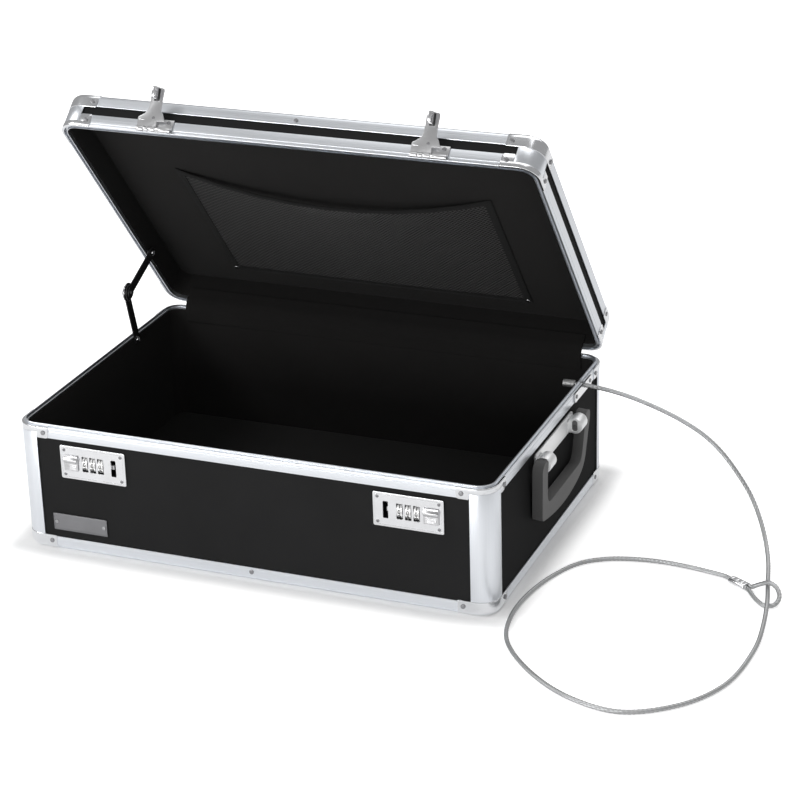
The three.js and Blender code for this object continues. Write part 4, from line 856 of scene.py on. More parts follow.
def makeStrip():
    # the strip of lining over the hinge line: up the back wall, over in a soft fold, into the lid
    face = halfDepth - lining["inner"] - gap
    half = halfWidth - hingeCloth["fromEnd"]
    reach, thick = hingeCloth["reach"], hingeCloth["thick"]
    route = [(face, baseTop - reach), (face, baseTop - 5), (face, baseTop - 0.6),
             *(tipped(face, baseTop + up) for up in (0.9, 5, reach))]
    even, length = smoothRoute([(0, *p) for p in route], hingeCloth["step"])
    front = []
    for before, here, after in zip([even[0], *even], even, [*even[1:], even[-1]]):
        along = (after - before).normalized()
        front.append(here + Vector((0, -along.z, along.y)) * thick)
    strip = slab("hingeStrip", [(-half, p.y, p.z) for p in even + front[::-1]], (2 * half, 0, 0))
    for number in range(1, hingeCloth["columns"]):
        cutAcross(strip, (-half + 2 * half * number / hingeCloth["columns"], 0, 0), (1, 0, 0))
    soften(strip, 0.3, 2, 50)
    for vertex in strip.data.vertices:
        x = vertex.co.x
        ripple = sum(size * math.sin(x / long + shift) for size, long, shift in hingeCloth["ripples"])
        fold = math.exp(-((vertex.co.z - baseTop - hingeCloth["foldUp"]) / hingeCloth["foldTall"]) ** 2)
        vertex.co.y -= (hingeCloth["foldOut"] + ripple) * fold
    tidyMesh(strip)
    finishPiece(strip, None, "felt", ("hinge_line_lining",))
    start = (0, face * 0.001, (baseTop - 2) * 0.001)
    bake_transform(strip)
    2 * half * 0.001
    length * 0.001


net = {"fromEnd": 70.25, "front": 100.4, "back": 29.4, "hem": 7.0, "hemThick": 0.9, "lap": 2.0,
       "sag": 11.0, "dip": 22.0, "pitch": 3.1, "string": 0.42, "rivetInset": 3.6, "hemGrid": (88, 50),
       "ripple": 0.18, "calm": 0.036, "rippleLong": 5.3}
netHalf = halfWidth - net["fromEnd"]
netDepth = caseSize["depth"] - net["front"] - net["back"]


def hang(x, y):
    # a point of the flat net where it hangs under the lid's top; y runs back from its open edge
    slack = max(0, 1 - (x / netHalf) ** 2)
    sag = net["sag"] * slack * (1 - (y / netDepth) ** 2)
    dip = net["dip"] * slack * (1 - y / netDepth) ** 2
    ceiling = lidTop - lining["low"] - lining["pad"] - gap
    return x, -halfDepth + net["front"] + y + dip, ceiling - sag - 0.5


def makeNet():
    half, depth, hem = netHalf, netDepth, net["hem"]
    size = 2 * half + depth
    count = round(size / net["pitch"])
    bpy.ops.mesh.primitive_grid_add(x_subdivisions=count, y_subdivisions=count, size=size,
                                    location=(0, depth / 2, 0), rotation=(0, 0, quarter / 2))
    threads = settle(newest("netThreads"))
    inside = hem - net["lap"]
    for place, normal in (((half - inside, 0, 0), (1, 0, 0)), ((inside - half, 0, 0), (-1, 0, 0)),
                          ((0, inside, 0), (0, -1, 0)), ((0, depth - inside, 0), (0, 1, 0))):
        cutAcross(threads, place, normal, clear_outer=True)
    for vertex in threads.data.vertices:
        vertex.co = hang(vertex.co.x, vertex.co.y)
    modify(threads, "WIREFRAME", thickness=net["string"], use_even_offset=False)

    columns, rows = net["hemGrid"]
    bpy.ops.mesh.primitive_grid_add(x_subdivisions=columns, y_subdivisions=rows, size=2,
                                    location=(0, depth / 2, 0))
    border = newest("netHem")
    border.scale = (half, depth / 2, 1)
    settle(border)
    pick(border, "FACE", lambda f: abs(f.center.x) < half - hem and hem < f.center.y < depth - hem)
    bpy.ops.mesh.delete(type="FACE")
    endEdit()
    for vertex in border.data.vertices:
        x, y, z = hang(vertex.co.x, vertex.co.y)
        size = net["ripple"] if vertex.co.y < hem + 1 else net["calm"]
        vertex.co = (x, y, z + size * math.sin(vertex.co.x / net["rippleLong"]))
    modify(border, "SOLIDIFY", thickness=net["hemThick"], offset=0)
    soften(border, 0.25, 2, 50)
    paint("net", threads)
    paint("hem", border)
    pocket = unite(border, threads)
    pocket.name = "netPocket"
    finishPiece(pocket, "lid", None, ("lid_net_pocket",), smooth=60)
    for name, side in (("netRivetLeft", -1), ("netRivetRight", 1)):
        x, y, z = hang(side * (half - net["rivetInset"]), depth - net["rivetInset"])
        head = rivetHead((x, y, z - 0.4), (0, 0, -1), "net")
        head.name = name
        finishPiece(head, "lid")
    2 * half * 0.001
    depth * 0.001
    0.55 * 2 * half * depth * 1e-6


makeLinings()
makeStrip()
makeNet()
print("linings, strip and net made")

# butt hinges on the back; the base leaf carries the pin
hinge = {"fromEnd": 92.25, "length": 50.0, "tall": 24.0, "plate": 1.2, "radius": 1.5, "barrel": 2.8,
         "pin": 1.2, "pinProud": 0.3, "knuckles": 5, "clear": 0.5, "lap": 0.8, "shy": 0.02,
         "across": (-17.0, 17.0), "up": (10.1, 18.7)}


def makeHinges():
    front = halfDepth + gap
    back = front + hinge["plate"]
    near = hinge["barrel"] + hinge["clear"]
    step = hinge["length"] / hinge["knuckles"]
    axis = (hingeY, baseTop)
    for name, side in hands:
        middle = side * (halfWidth - hinge["fromEnd"])
        start = middle - hinge["length"] / 2
        for kind, up in (("base", -1), ("lid", 1)):
            leaf = roundPlate(name + "Hinge" + kind.title() + "Leaf",
                              (middle, baseTop + up * (near + hinge["tall"]) / 2), hinge["length"],
                              hinge["tall"] - near, hinge["radius"], back, hinge["plate"])
            parts = [soften(leaf, 0.35, 3, 40)]
            for number in range(up > 0, hinge["knuckles"], 2):
                low = start + number * step + (gap / 2 if number else 0)
                last = number == hinge["knuckles"] - 1
                high = start + (number + 1) * step - (0 if last else gap / 2)
                edges = sorted((baseTop, baseTop + up * (near + hinge["lap"])))
                parts.append(block("tongue", (low, front + hinge["shy"], edges[0]),
                                   (high, back - hinge["shy"], edges[1])))
                knuckle = rod("knuckle", "x", hinge["barrel"], low, high, axis, 36)
                if up > 0:
                    carve(knuckle, rod("bore", "x", hinge["pin"] + gap, low - 1, high + 1, axis, 24))
                parts.append(soften(knuckle, 0.3, 2, 60))
            if up < 0:
                pin = rod("pin", "x", hinge["pin"], start - hinge["pinProud"],
                          start + hinge["length"] + hinge["pinProud"], axis, 24)
                parts.append(soften(pin, 0.25, 2, 60))
            paint("nickel", *parts)
            parts += [rivetHead((middle + across, back - 0.05, baseTop + up * rise), (0, 1, 0), "leaf")
                      for across in hinge["across"] for rise in hinge["up"]]
            finishPiece(unite(*parts), kind, None, ("hinge_" + name + "_" + kind + "_leaf",))


makeHinges()
print("hinges made")

# hasps: a fixed leaf riveted to the lid's rim and a swinging leaf with its staple
hasp = {"middle": 127.5, "axisY": -154.9, "axisZ": 119.7, "open": 154.0, "barrel": 2.2, "pin": 0.9,
        "plate": 1.1, "left": -16.0, "right": 17.0, "rootRight": 2.3, "inside": (-9.0, -4.0),
        "leafLow": 123.5, "leafHigh": 131.6, "rivets": (-9.5, 12.4), "rivetZ": 128.6,
        "wingRivet": (-1.2, -10.4),
        "staple": {"half": 5.3, "drop": 32.0, "tip": 8.4, "thick": 1.4, "rim": 1.8, "eye": 3.6,
                   "eyeHalf": 3.4},
        "outline": [(-16, 1.4), (-16, 9.4), (-15.2, 10.8), (-13, 12.1), (-10.1, 13.9), (-7.6, 16.4),
                    (-6.6, 19), (-6, 26), (-6.1, 34.2), (-5.5, 36.2), (-3.8, 37), (4, 37), (5.8, 36.3),
                    (6.3, 34.4), (5.6, 26), (5.2, 18), (5.7, 16.2), (7, 14.5), (8.4, 11.6), (9.8, 8),
                    (2.3, 7.6), (2.3, 1.4)]}


def curledBarrel(start, end):
    # a curled barrel on the axis, with the seam where its sheet comes round
    barrel = rod("knuckle", "x", hasp["barrel"], start, end, (0, 0), 28)
    soften(barrel, 0.25, 2, 60)
    return carve(barrel, block("seam", (start - 1, 1.2, -0.25), (end + 1, 3, 0.05)))


def makeSwingingLeaf():
    face = -hasp["barrel"]
    back = face + hasp["plate"]
    first, second = hasp["inside"]
    leaf = slab("swingingLeaf", [(x, face, -drop) for x, drop in hasp["outline"]],
                (0, hasp["plate"], 0))
    carve(leaf, block("gap", (first, -4, -2.7), (second, 2, 0)))
    soften(leaf, 0.3, 3, 25)
    pieces = [leaf, curledBarrel(hasp["left"], first), curledBarrel(second, hasp["rootRight"])]
    eye = hasp["staple"]
    tip, half, drop = eye["tip"], eye["half"], eye["drop"]
    outer = [(back - 0.5, -half), (tip - 3, -half), (tip - 0.9, 0.9 - half), (tip, 3 - half),
             (tip, half - 3), (tip - 0.9, half - 0.9), (tip - 3, half), (back - 0.5, half)]
    ring = slab("staple", [(-eye["thick"], y, z - drop) for y, z in outer], (2 * eye["thick"], 0, 0))
    window = block("eye", (-3, tip - eye["rim"] - eye["eye"], -drop - eye["eyeHalf"]),
                   (3, tip - eye["rim"], eye["eyeHalf"] - drop))
    carve(ring, soften(window, 0.9, 3))
    pieces.append(soften(ring, 0.3, 2))
    paint("hasp", *pieces)
    x, z = hasp["wingRivet"]
    pieces.append(rivetHead((x, back - 0.05, z), (0, 1, 0), "stapleBack"))
    pieces.append(rivetHead((x, face + 0.05, z), (0, -1, 0), "stapleFront"))
    # a block at the staple's foot, painted black as the shadow round the staple, and the wing's pressed
    # edge
    for left, right, low, high, finish in ((-2.6, 2.6, -36, -25.4, "blackSteel"),
                                           (-15.2, -9.6, -8.6, -7.9, "hasp")):
        foot = block("foot", (left, back - 0.2, low), (right, back + 0.35, high))
        paint(finish, soften(foot, 0.25, 2))
        pieces.append(foot)
    return unite(*pieces)


def makeFixedLeaf():
    axis = (hasp["axisY"], hasp["axisZ"])
    back = -halfDepth - gap
    front = back - hasp["plate"]
    first, second = hasp["inside"]
    spans = ((first + gap, second - gap), (hasp["rootRight"] + gap, hasp["right"]))
    barrels = [curledBarrel(*span) for span in spans]
    for barrel in barrels:
        barrel.matrix_world = Matrix.Translation((0, *axis))
    plate = block("fixedLeaf", (hasp["left"], front, hasp["leafLow"]),
                  (hasp["right"], back, hasp["leafHigh"]))
    webs = [block("web", (start, front, hasp["axisZ"]), (end, back, hasp["leafLow"] + 0.4))
            for start, end in spans]
    pin = rod("pin", "x", hasp["pin"], hasp["left"] + 0.4, hasp["right"], axis, 20)
    parts = [soften(plate, 0.35, 3), *webs, *barrels, pin]
    paint("hasp", *parts)
    parts += [rivetHead((x, front, hasp["rivetZ"]), (0, -1, 0), "leaf") for x in hasp["rivets"]]
    return unite(*parts)


def makeHasps():
    swing = (Matrix.Translation((0, hasp["axisY"], hasp["axisZ"]))
             @ Matrix.Rotation(-math.radians(hasp["open"]), 4, "X"))
    swinging, fixed = makeSwingingLeaf(), makeFixedLeaf()
    for side, sign in hands:
        aside = Matrix.Translation((sign * hasp["middle"], 0, 0))
        for piece, name, kind, body, turn in (
                (swinging, "HaspSwingingLeaf", "_swinging_leaf", "hasp_" + side, swing),
                (fixed, "HaspFixedLeaf", "_fixed_leaf", "lid", Matrix.Identity(4))):
            copy = copyOf(piece, side + name)
            copy.matrix_world = aside @ turn
            finishPiece(copy, body, None, ("hasp_" + side + kind,))
    for piece in (swinging, fixed):
        bpy.data.objects.remove(piece, do_unlink=True)


def wrapDigit(digit):
    # one figure of the dial, laid on the wheel's rim where the number is read
    bpy.ops.object.text_add(location=(0, 0, 0))
    figure = newest("digit")
    figure.data.body = str(digit)
    figure.data.size = lock["digitSize"]
    figure.data.align_x = "CENTER"
    figure.data.align_y = "CENTER"
    figure.data.offset = lock["digitBold"]
    figure.data.resolution_u = 3
    activate(figure)
    bpy.ops.object.convert(target="MESH")
    figure = bpy.context.object
    for step in range(-3, 4):
        cutAcross(figure, (0, step * 0.55, 0), (0, 1, 0))
    reach = lock["dialRadius"] + lock["digitLift"]
    for vertex in figure.data.vertices:
        x, across, _ = vertex.co
        angle = across / lock["dialRadius"] + digit * math.tau / 10
        vertex.co = (x, -reach * math.cos(angle), reach * math.sin(angle))
    modify(figure, "SOLIDIFY", thickness=lock["digitThick"], offset=0)
    paint("ink", figure)
    return figure


def makeDials():
    # a wheel on a bore, its rims cut with a notch between each pair of figures
    half = lock["dialWidth"] / 2
    wheel = rod("dial", "x", lock["dialRadius"], -half, half, (0, 0), 60)
    carve(wheel, rod("bore", "x", lock["shaft"] + 0.3, -6, 6, (0, 0), 24))
    soften(wheel, 0.45, 3, 60)
    reach = lock["dialRadius"] + lock["notchOut"]
    for number in range(10):
        angle = (number + 0.5) * math.tau / 10
        place = (-reach * math.cos(angle), reach * math.sin(angle))
        carve(wheel, rod("notch", "x", lock["notchRadius"], -6, 6, place, 12))
    paint("dial", wheel)
    dial = unite(wheel, *[wrapDigit(digit) for digit in range(10)])
    for side, sign in hands:
        for number in range(3):
            copy = copyOf(dial, side + "Dial" + str(number + 1))
            x = sign * lock["middle"] + (number - 1) * lock["pitch"]
            turn = Matrix.Rotation(lock["shown"][side][number] * math.tau / 10, 4, "X")
            copy.matrix_world = Matrix.Translation((x, lock["dialY"], lock["height"])) @ turn
            finishPiece(copy, "dial_" + side + "_" + str(number + 1), None,
                        ("lock_" + side + "_dial_" + str(number + 1),))
    bpy.data.objects.remove(dial, do_unlink=True)


def lockSpan(side, start, end, y0, y1, z0, z1):
    ends = sorted(side * (lock["middle"] + along) for along in (start, end))
    return block("part", (ends[0], y0, lock["height"] + z0), (ends[1], y1, lock["height"] + z1))


def makeLockPlate(name, side):
    length, width, face = lock["length"], lock["width"], lock["face"]

    def plateAt(along, long, tall, radius, back, thick):
        return roundPlate("part", (side * (lock["middle"] + along), lock["height"]), long, tall, radius,
                          back, thick)
    plate = plateAt(0, length, width, 1.5, lock["back"], lock["thick"])
    plate.name = name + "LockPlate"
    soften(plate, 0.45, 3, 40)
    outer, inner = (2 * inset for inset in lock["grooveInset"])
    groove = plateAt(0, length - outer, width - outer, 1.2, face + lock["grooveDeep"], 1)
    carve(groove, plateAt(0, length - inner, width - inner, 1.0, face + 1, 3))
    front, behind = face - 1, lock["back"] + 1
    deep = behind - front
    windows = [plateAt(number * lock["pitch"], lock["windowWidth"], lock["windowHeight"], 0.5, behind,
                       deep) for number in (-side, 0, side)]
    half = lock["stem"] / 2 + 0.3
    carve(plate, groove,
          plateAt(-lock["slotOffset"], lock["slotWidth"], lock["slotLength"], 0.8, behind, deep),
          *windows, lockSpan(side, lock["slideOffset"] - half,
                             lock["slideOffset"] + lock["travel"] + half, front, behind, -half, half))
    paint("nickel", plate)
    screwX, screwZ = length / 2 - lock["screwInset"], width / 2 - lock["screwInset"]
    screws = [rivetHead((side * lock["middle"] + across * screwX, face + 0.2,
                         lock["height"] + up * screwZ), (0, -1, 0), "lockScrew")
              for across in (-1, 1) for up in (-1, 1)]
    finishPiece(unite(plate, *screws), "base", None, ("lock_" + name + "_plate",))


def makeSlide(name, side):
    back = lock["face"] - 0.3
    half, tall = lock["slideWidth"] / 2, lock["slideLength"] / 2
    plate, ridge = back - lock["plate"], back - lock["ridge"]
    centre = side * (lock["middle"] + lock["slideOffset"])
    profile = [(back, -tall), (back, tall), (plate, tall), (plate - 0.2, tall * 0.8),
               (ridge, tall * 0.55), (ridge, tall * 0.3), (plate - 0.1, tall * 0.06), (plate, -tall)]
    knob = slab(name + "LatchSlide", [(centre - half, y, lock["height"] + z) for y, z in profile],
                (2 * half, 0, 0))
    parts = [soften(knob, 0.4, 3, 25)]
    reach, thick = half - lock["ribInset"], lock["ribHalf"]
    for share in lock["ribs"]:
        z = lock["height"] - tall * share
        rib = block("rib", (centre - reach, plate - thick, z - thick),
                    (centre + reach, plate + 0.2, z + thick))
        parts.append(soften(rib, 0.2, 2))
    # the bar behind the plate, from the stem over the dials to the nose in the slot
    bar, stem, top = lock["bar"], lock["stem"], lock["barTop"]
    slotEdge = lock["slotWidth"] / 2 - lock["slotOffset"]
    legFrom = slotEdge + 0.6
    stemFrom = lock["slideOffset"] - stem / 2
    barFront = lock["back"] + 0.7
    barBack = barFront + bar
    for span in ((stemFrom, lock["slideOffset"] + stem / 2, back - 0.5, barBack, -stem / 2, stem / 2),
                 (stemFrom, stemFrom + bar, barFront, barBack, 0, top),
                 (legFrom, stemFrom + bar, barFront, barBack, top - bar, top),
                 (legFrom, legFrom + bar, barFront, barBack, -2, top),
                 (slotEdge - 2.1, legFrom + bar, barFront, barBack, -2, 2)):
        parts.append(soften(lockSpan(side, *span), 0.15, 1))
    slide = unite(*parts)
    paint("hasp", slide)
    finishPiece(slide, "slide_" + name, None, ("lock_" + name + "_latch_slide",))


plateSize = {"x": -165.4, "z": 27.6, "length": 53.0, "width": 16.0, "thick": 1.2, "rivet": 23.4,
             "border": 1.1, "fieldDeep": 0.2}


def makeNamePlate():
    # the plate stays bare
    back, centre = lock["back"], (plateSize["x"], plateSize["z"])
    length, width = plateSize["length"], plateSize["width"]
    field = back - plateSize["thick"] + plateSize["fieldDeep"]
    plate = roundPlate("namePlate", centre, length, width, 0.8, back, plateSize["thick"])
    soften(plate, 0.3, 2, 40)
    border = 2 * plateSize["border"]
    carve(plate, roundPlate("field", centre, length - border, width - border, 0.6, field, 1))
    paint("pewter", plate)
    rivets = [rivetHead((centre[0] + side * plateSize["rivet"], field, centre[1]), (0, -1, 0),
                        "namePlate") for side in (-1, 1)]
    finishPiece(unite(plate, *rivets), "base", None, ("name_plate",))


notchPlate = {"x": 222.55, "thick": 1.0, "front": 63.0, "back": 111.0, "low": 108.3, "high": 117.2,
              "rivets": (67.6, 106.4), "rivetZ": 112.95}


def makeNotchPlate():
    low, high, front, back, x, thick = (
        notchPlate[key] for key in ("low", "high", "front", "back", "x", "thick"))
    outline = [(front + 1, low), (back - 1, low), (back, low + 1), (back, high - 1), (back - 1, high),
               (front + 1, high), (front, high - 1), (front, low + 1)]
    plate = slab("tetherNotchPlate", [(x, y, z) for y, z in outline], (thick, 0, 0))
    carve(plate, *notchCutters())
    soften(plate, 0.25, 2)
    paint("nickel", plate)
    rivets = [rivetHead((x + thick, y, notchPlate["rivetZ"]), (1, 0, 0), "leaf")
              for y in notchPlate["rivets"]]
    finishPiece(unite(plate, *rivets), "base", None, ("tether_notch_plate",))


makeHasps()
print("hasps made")
makeDials()
for name, side in hands:
    makeLockPlate(name, side)
    makeSlide(name, side)
makeNamePlate()
makeNotchPlate()
print("locks and plates made")

handle = {"middle": 6.5, "height": 94.6, "axisX": 229.65, "wallX": 221.25, "strap": 1.8, "top": 103.5,
          "tall": 16.5, "barrel": 43.4, "length": 15.2, "radius": 7.2, "rise": 0.8, "slotWidth": 5.0,
          "slotLow": 90.6, "slotHigh": 100.8, "webX": (222.55, 226.85), "webZ": (88.5, 99.6),
          "pin": 1.9, "chamfer": 2.0, "slitIn": 1.4, "slitHalf": 7.2, "slitZ": (98.9, 100.3)}
grip = {"thick": 9.4, "inner": 51.3, "outer": 65.9, "earTop": 7.9, "earRadius": 8.0, "earInner": 5.0,
        "bend": -9.0, "drop": -56.6, "bow": 24.0, "hang": 3.0, "outerRound": 3.4, "innerRound": 1.7,
        "front": [(-60.5, -43), (-60, -49.4), (-54, -49.9)],
        "back": [(42, -50.8), (55, -47.5), (58.8, -36)],
        "corner": [(48.6, -26), (47.5, -36.8), (38, -37.4)]}


def makeHandleBracket():
    centre, wallX, axisX = handle["middle"], handle["wallX"], handle["axisX"]
    outer = handle["barrel"] + handle["length"] / 2
    front, back = centre - outer, centre + outer
    low, high, cut = handle["top"] - handle["tall"], handle["top"], handle["chamfer"]
    outline = [(front, low + 0.6), (front + 0.6, low), (back - 0.6, low), (back, low + 0.6),
               (back, high - cut), (back - cut, high), (front + cut, high), (front, high - cut)]
    strap = slab("handleBracket", [(wallX, y, z) for y, z in outline], (handle["strap"], 0, 0))
    slitHalf, (slitLow, slitHigh) = handle["slitHalf"], handle["slitZ"]
    for side in (-1, 1):
        middle = centre + side * (handle["barrel"] - handle["slitIn"])
        carve(strap, block("slit", (wallX + 0.7, middle - slitHalf, slitLow),
                           (wallX + 4, middle + slitHalf, slitHigh)))
    parts = [soften(strap, 0.45, 3, 25)]
    bushes = []
    width, tall = handle["slotWidth"], handle["slotHigh"] - handle["slotLow"]
    slotCentre = (axisX, (handle["slotLow"] + handle["slotHigh"]) / 2)
    for side in (-1, 1):
        start = centre + side * handle["barrel"] - handle["length"] / 2
        end = start + handle["length"]
        barrel = rod("barrel", "y", handle["radius"], start, end,
                     (axisX, handle["height"] + handle["rise"]), 56)
        carve(barrel, roundPlate("slot", slotCentre, width, tall, width / 2 - 0.02, end + 2,
                                 end - start + 4, 8))
        parts.append(soften(barrel, 0.4, 3, 50))
        bush = roundPlate("bush", slotCentre, width - 0.04, tall - 0.04, width / 2 - 0.04, end - 0.5,
                          end - start - 1, 8)
        carve(bush, rod("bore", "y", handle["pin"] + 0.2, start - 1, end + 1,
                        (axisX, handle["height"]), 24))
        bushes.append(bush)
        web = block("web", (handle["webX"][0], start + 0.3, handle["webZ"][0]),
                    (handle["webX"][1], end - 0.3, handle["webZ"][1]))
        parts.append(soften(web, 0.3, 2))
    piece = unite(*parts)
    paint("handleSteel", piece)
    paint("bush", *bushes)
    finishPiece(unite(piece, *bushes), "base", None, ("handle_bracket",), smooth=40)


def bend(points, control, end, steps=8):
    # a round corner from the last point to the end
    start = points[-1]
    for step in range(1, steps + 1):
        t = step / steps
        points.append(tuple((1 - t) ** 2 * a + 2 * t * (1 - t) * b + t * t * c
                            for a, b, c in zip(start, control, end)))


def makeGrip():
    inner, outer, top = grip["inner"], grip["outer"], grip["earTop"]
    shoulder, innerShoulder = top - grip["earRadius"], top - grip["earInner"]
    line = [(-outer, shoulder), grip["front"][0]]
    bend(line, *grip["front"][1:])
    bend(line, (-grip["bow"], grip["drop"]), (0, grip["drop"]), 12)
    bend(line, (grip["bow"], grip["drop"]), grip["back"][0], 12)
    bend(line, *grip["back"][1:])
    line.append((outer, shoulder))
    bend(line, (outer, top), (outer - grip["earRadius"], top))
    outerCount = len(line)
    line.append((inner + grip["earInner"], top))
    bend(line, (inner, top), (inner, innerShoulder))
    line += [(inner, grip["bend"]), grip["corner"][0]]
    bend(line, *grip["corner"][1:])
    mirrored = [(-y, z) for y, z in grip["corner"]]
    line.append(mirrored[2])
    bend(line, mirrored[1], mirrored[0])
    line += [(-inner, grip["bend"]), (-inner, innerShoulder)]
    bend(line, (-inner, top), (-inner - grip["earInner"], top))
    innerEnd = len(line)
    line.append((grip["earRadius"] - outer, top))
    bend(line, (-outer, top), (-outer, shoulder))
    line.pop()
    outside = {(round(y, 3), round(z, 3)) for y, z in line[:outerCount] + line[innerEnd:]}
    half = grip["thick"] / 2
    loop = slab("handleGrip", [(-half, y, z) for y, z in line], (2 * half, 0, 0))
    for isOuter, width, segments in ((False, grip["innerRound"], 4), (True, grip["outerRound"], 6)):
        def onRim(edge):
            a, b = (loop.data.vertices[index].co for index in edge.vertices)
            flat = abs(a.x - b.x) < 0.01 and abs(abs(a.x) - half) < 0.01
            return flat and isOuter == all((round(p.y, 3), round(p.z, 3)) in outside for p in (a, b))
        pick(loop, "EDGE", onRim)
        bpy.ops.mesh.bevel(offset=width, segments=segments, affect="EDGES", clamp_overlap=True)
        endEdit()
    tidyMesh(loop)
    loop.matrix_world = (Matrix.Translation((handle["axisX"], handle["middle"], handle["height"]))
                         @ Matrix.Rotation(math.radians(grip["hang"]), 4, "Y"))
    parts = [settle(loop)]
    for side in (-1, 1):
        ends = sorted(handle["middle"] + side * place for place in
                      ((inner + outer) / 2, handle["barrel"] - handle["length"] / 2 + 0.3))
        pin = rod("pin", "y", handle["pin"], *ends, (handle["axisX"], handle["height"]), 24)
        parts.append(soften(pin, 0.3, 2, 60))
    paint("grip", *parts)
    finishPiece(unite(*parts), "handle", None, ("handle_grip",), smooth=50)


makeHandleBracket()
makeGrip()
print("handle made")

stay = {"base": (68.5, 113.7), "elbow": (54.1, 166.8), "lid": (104.374, 189.082), "width": 9.6,
        "end": 4.9, "elbowEnd": 7.0, "lower": (-216.45, -215.25), "disc": (-214.95, -213.55),
        "upper": (-213.25, -212.05), "head": (-211.75, -210.75), "discRadius": 9.0, "eye": 7.4,
        "eyeHole": 4.6, "rivet": 2.0, "headRadius": 5.4, "dimple": 2.3, "dimpleDeep": 0.45,
        "spacer": 2.8, "boreSpan": (-230, -200)}


def stayArm(name, start, end, span, startRadius, endRadius):
    # a flat bar with round ends, drawn as one outline
    aim = math.atan2(end[1] - start[1], end[0] - start[0])
    half = stay["width"] / 2
    points = []
    for (y, z), radius, turn in ((start, startRadius, aim + math.pi), (end, endRadius, aim)):
        spread = quarter + (math.acos(min(half / radius, 1)) if radius > half else 0)
        for step in range(25):
            angle = turn - spread + 2 * spread * step / 24
            points.append((span[0], y + radius * math.cos(angle), z + radius * math.sin(angle)))
    return slab(name, points, (span[1] - span[0], 0, 0))


def makeStay():
    elbow, bore = stay["elbow"], stay["boreSpan"]
    low, (under, high) = stay["lower"][1], stay["head"]
    lower = stayArm("stayLowerArm", stay["base"], elbow, stay["lower"], stay["end"], stay["elbowEnd"])
    soften(lower, 0.25, 2)
    rivet = rod("rivet", "x", stay["rivet"], low - 0.5, high - 0.3, elbow, 24)
    cap = rod("cap", "x", stay["headRadius"], under, high, elbow, 48)
    soften(cap, 0.35, 3, 60)
    floor = high - stay["dimpleDeep"]
    carve(cap, rod("dimple", "x", stay["dimple"], floor, high + 1, elbow, 24))
    paint("blackSteel", lower, rivet, cap)
    button = rivetHead((floor, *elbow), (1, 0, 0), "stayButton")
    screw = rivetHead((low, *stay["base"]), (1, 0, 0), "stayScrew")
    finishPiece(unite(lower, rivet, cap, button, screw), "stay_lower", None, ("stay_lower_arm",))

    disc = rod("staySpringWasher", "x", stay["discRadius"], *stay["disc"], elbow, 64)
    carve(disc, rod("bore", "x", stay["rivet"] + 0.3, *bore, elbow, 24))
    soften(disc, 0.4, 3, 60)
    finishPiece(disc, "stay_lower", "washer", ("stay_spring_washer",))

    upper = stayArm("stayUpperArm", stay["lid"], elbow, stay["upper"], stay["end"], stay["eye"])
    carve(upper, rod("bore", "x", stay["eyeHole"], *bore, elbow, 40))
    soften(upper, 0.25, 2)
    spacer = rod("spacer", "x", stay["spacer"], stay["lower"][0], stay["upper"][0] + 0.5,
                 stay["lid"], 24)
    paint("blackSteel", upper, spacer)
    screw = rivetHead((stay["upper"][1], *stay["lid"]), (1, 0, 0), "stayScrew")
    finishPiece(unite(upper, spacer, screw), "stay_upper", None, ("stay_upper_arm",))


makeStay()
print("stay made")

# stage and lights
studio = {"floor": 6.0, "floorShade": 0.93, "sky": 0.4, "glossGlow": 0.16,
          "near": (0.002, 0.03, 0.0, 0.55), "far": (0.25, 0.9, 0.0, 0.6)}
lamps = {"keyLight": ((-2.1, -0.9, 2.3), (0, 0, 0.1), (1.0, 1.0), 24),
         "topLight": ((0.15, 0.75, 2.4), (0, -0.1, 0), (2.4, 1.6), 18),
         "fillLight": ((1.2, -1.9, 1.3), (0, 0, 0.1), (1.2, 1.2), 3.5),
         "backLight": ((0.7, 1.9, 1.9), (0, 0, 0.1), (1.6, 1.0), 7),
         "lowLight": ((-0.4, -1.6, 0.34), (-0.05, -0.15, 0.08), (1.2, 0.3), 12)}


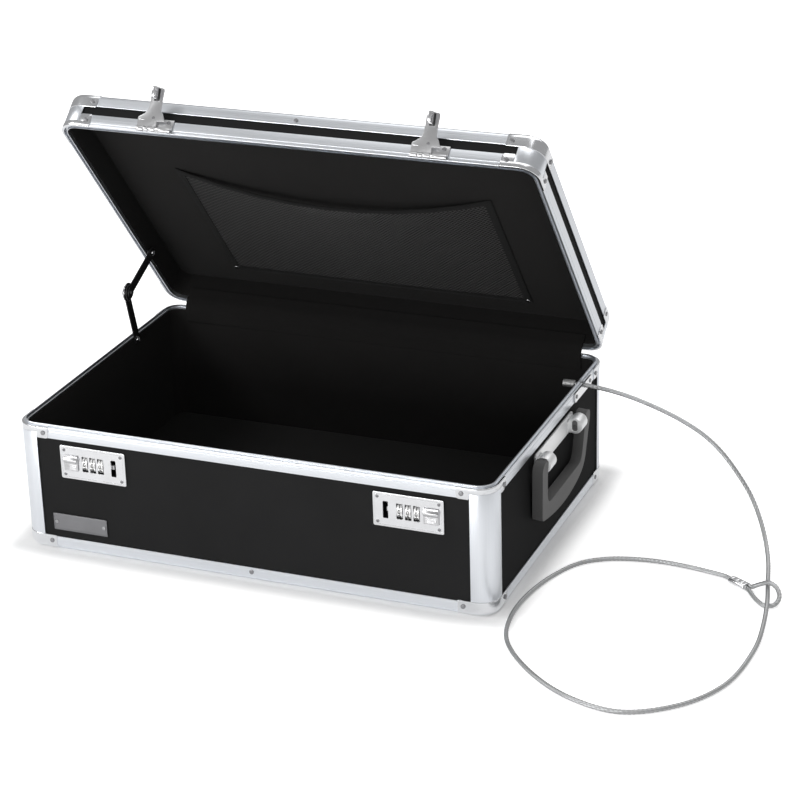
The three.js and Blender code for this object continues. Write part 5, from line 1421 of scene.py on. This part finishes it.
def makeFloor():
    bpy.ops.mesh.primitive_plane_add(size=studio["floor"], location=(0, 0, 0))
    floor = newest("studioFloor")
    finish = Finish("paleFloor", Roughness=0.9, Specular_IOR_Level=0.0)
    shade = studio["floorShade"]
    finish.feed(finish.shader.inputs["Base Color"], finish.blendShades(
        finish.noise(finish.place(), 3.0), (shade,) * 3, (shade + 0.02,) * 3))
    rays = finish.tree.nodes.new("ShaderNodeLightPath")
    camera, glossy = (Socket(finish, rays.outputs[ray]) for ray in ("Is Camera Ray", "Is Glossy Ray"))
    # seen straight, the floor turns to white a hand's breadth from the case, whose shadow stays
    away = finish.place()
    edge = (halfWidth * 0.001, halfDepth * 0.001, 0)
    for operation, others in (("ABSOLUTE", ()), ("SUBTRACT", (edge,)), ("MAXIMUM", ((0, 0, 0),))):
        away = finish.add("ShaderNodeVectorMath", {"operation": operation}, away, *others)
    away = finish.add("ShaderNodeVectorMath", {"operation": "LENGTH"}, away, out=1)
    near, far = (finish.add("ShaderNodeMapRange", {"interpolation_type": "SMOOTHSTEP"}, Value=away,
                            From_Min=start, From_Max=end, To_Min=low, To_Max=high)
                 for start, end, low, high in (studio["near"], studio["far"]))
    glow = finish.add("ShaderNodeEmission", Color=(1, 1, 1, 1),
                      Strength=camera * (near + far) + glossy * studio["glossGlow"])
    both = finish.tree.nodes.new("ShaderNodeAddShader")
    for source, socket in ((finish.shader.outputs[0], both.inputs[0]), (glow.out, both.inputs[1]),
                           (both.outputs[0], finish.tree.nodes["Material Output"].inputs["Surface"])):
        finish.tree.links.new(source, socket)
    floor.data.materials.append(finish.material)


def makeSky():
    world = bpy.data.worlds.new("studioWorld")
    bpy.context.scene.world = world
    world.use_nodes = True
    tree = world.node_tree
    sky = tree.nodes["Background"]
    sky.inputs["Color"].default_value = (1, 1, 1, 1)
    rays = tree.nodes.new("ShaderNodeLightPath")
    ramp = tree.nodes.new("ShaderNodeMapRange")
    ramp.inputs["To Min"].default_value = studio["sky"]
    ramp.inputs["To Max"].default_value = 1.0
    tree.links.new(rays.outputs["Is Camera Ray"], ramp.inputs["Value"])
    tree.links.new(ramp.outputs["Result"], sky.inputs["Strength"])


def softbox(name, place, target, size, power):
    bpy.ops.object.light_add(type="AREA", location=place)
    lamp = newest(name)
    lamp.data.shape = "RECTANGLE"
    lamp.data.size, lamp.data.size_y = size
    lamp.data.energy = power
    lamp.rotation_euler = (Vector(target) - Vector(place)).to_track_quat("-Z", "Y").to_euler()


makeFloor()
makeSky()
for name, settings in lamps.items():
    softbox(name, *settings)
bpy.context.scene.view_settings.view_transform = "Standard"

# carried-over solids: the first word found in a node's name gives its finish
solidFinishes = {"panel": "laminate", "lining": "felt", "net": "net", "case": "caseSteel",
                 "grip": "grip", "arm": "blackSteel", "name_plate": "pewter", "": "nickel"}
for name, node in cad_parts.items():
    word = next(word for word in solidFinishes if word in name)
    node.data.materials.clear()
    paint(solidFinishes[word], node)
print("solids dressed")
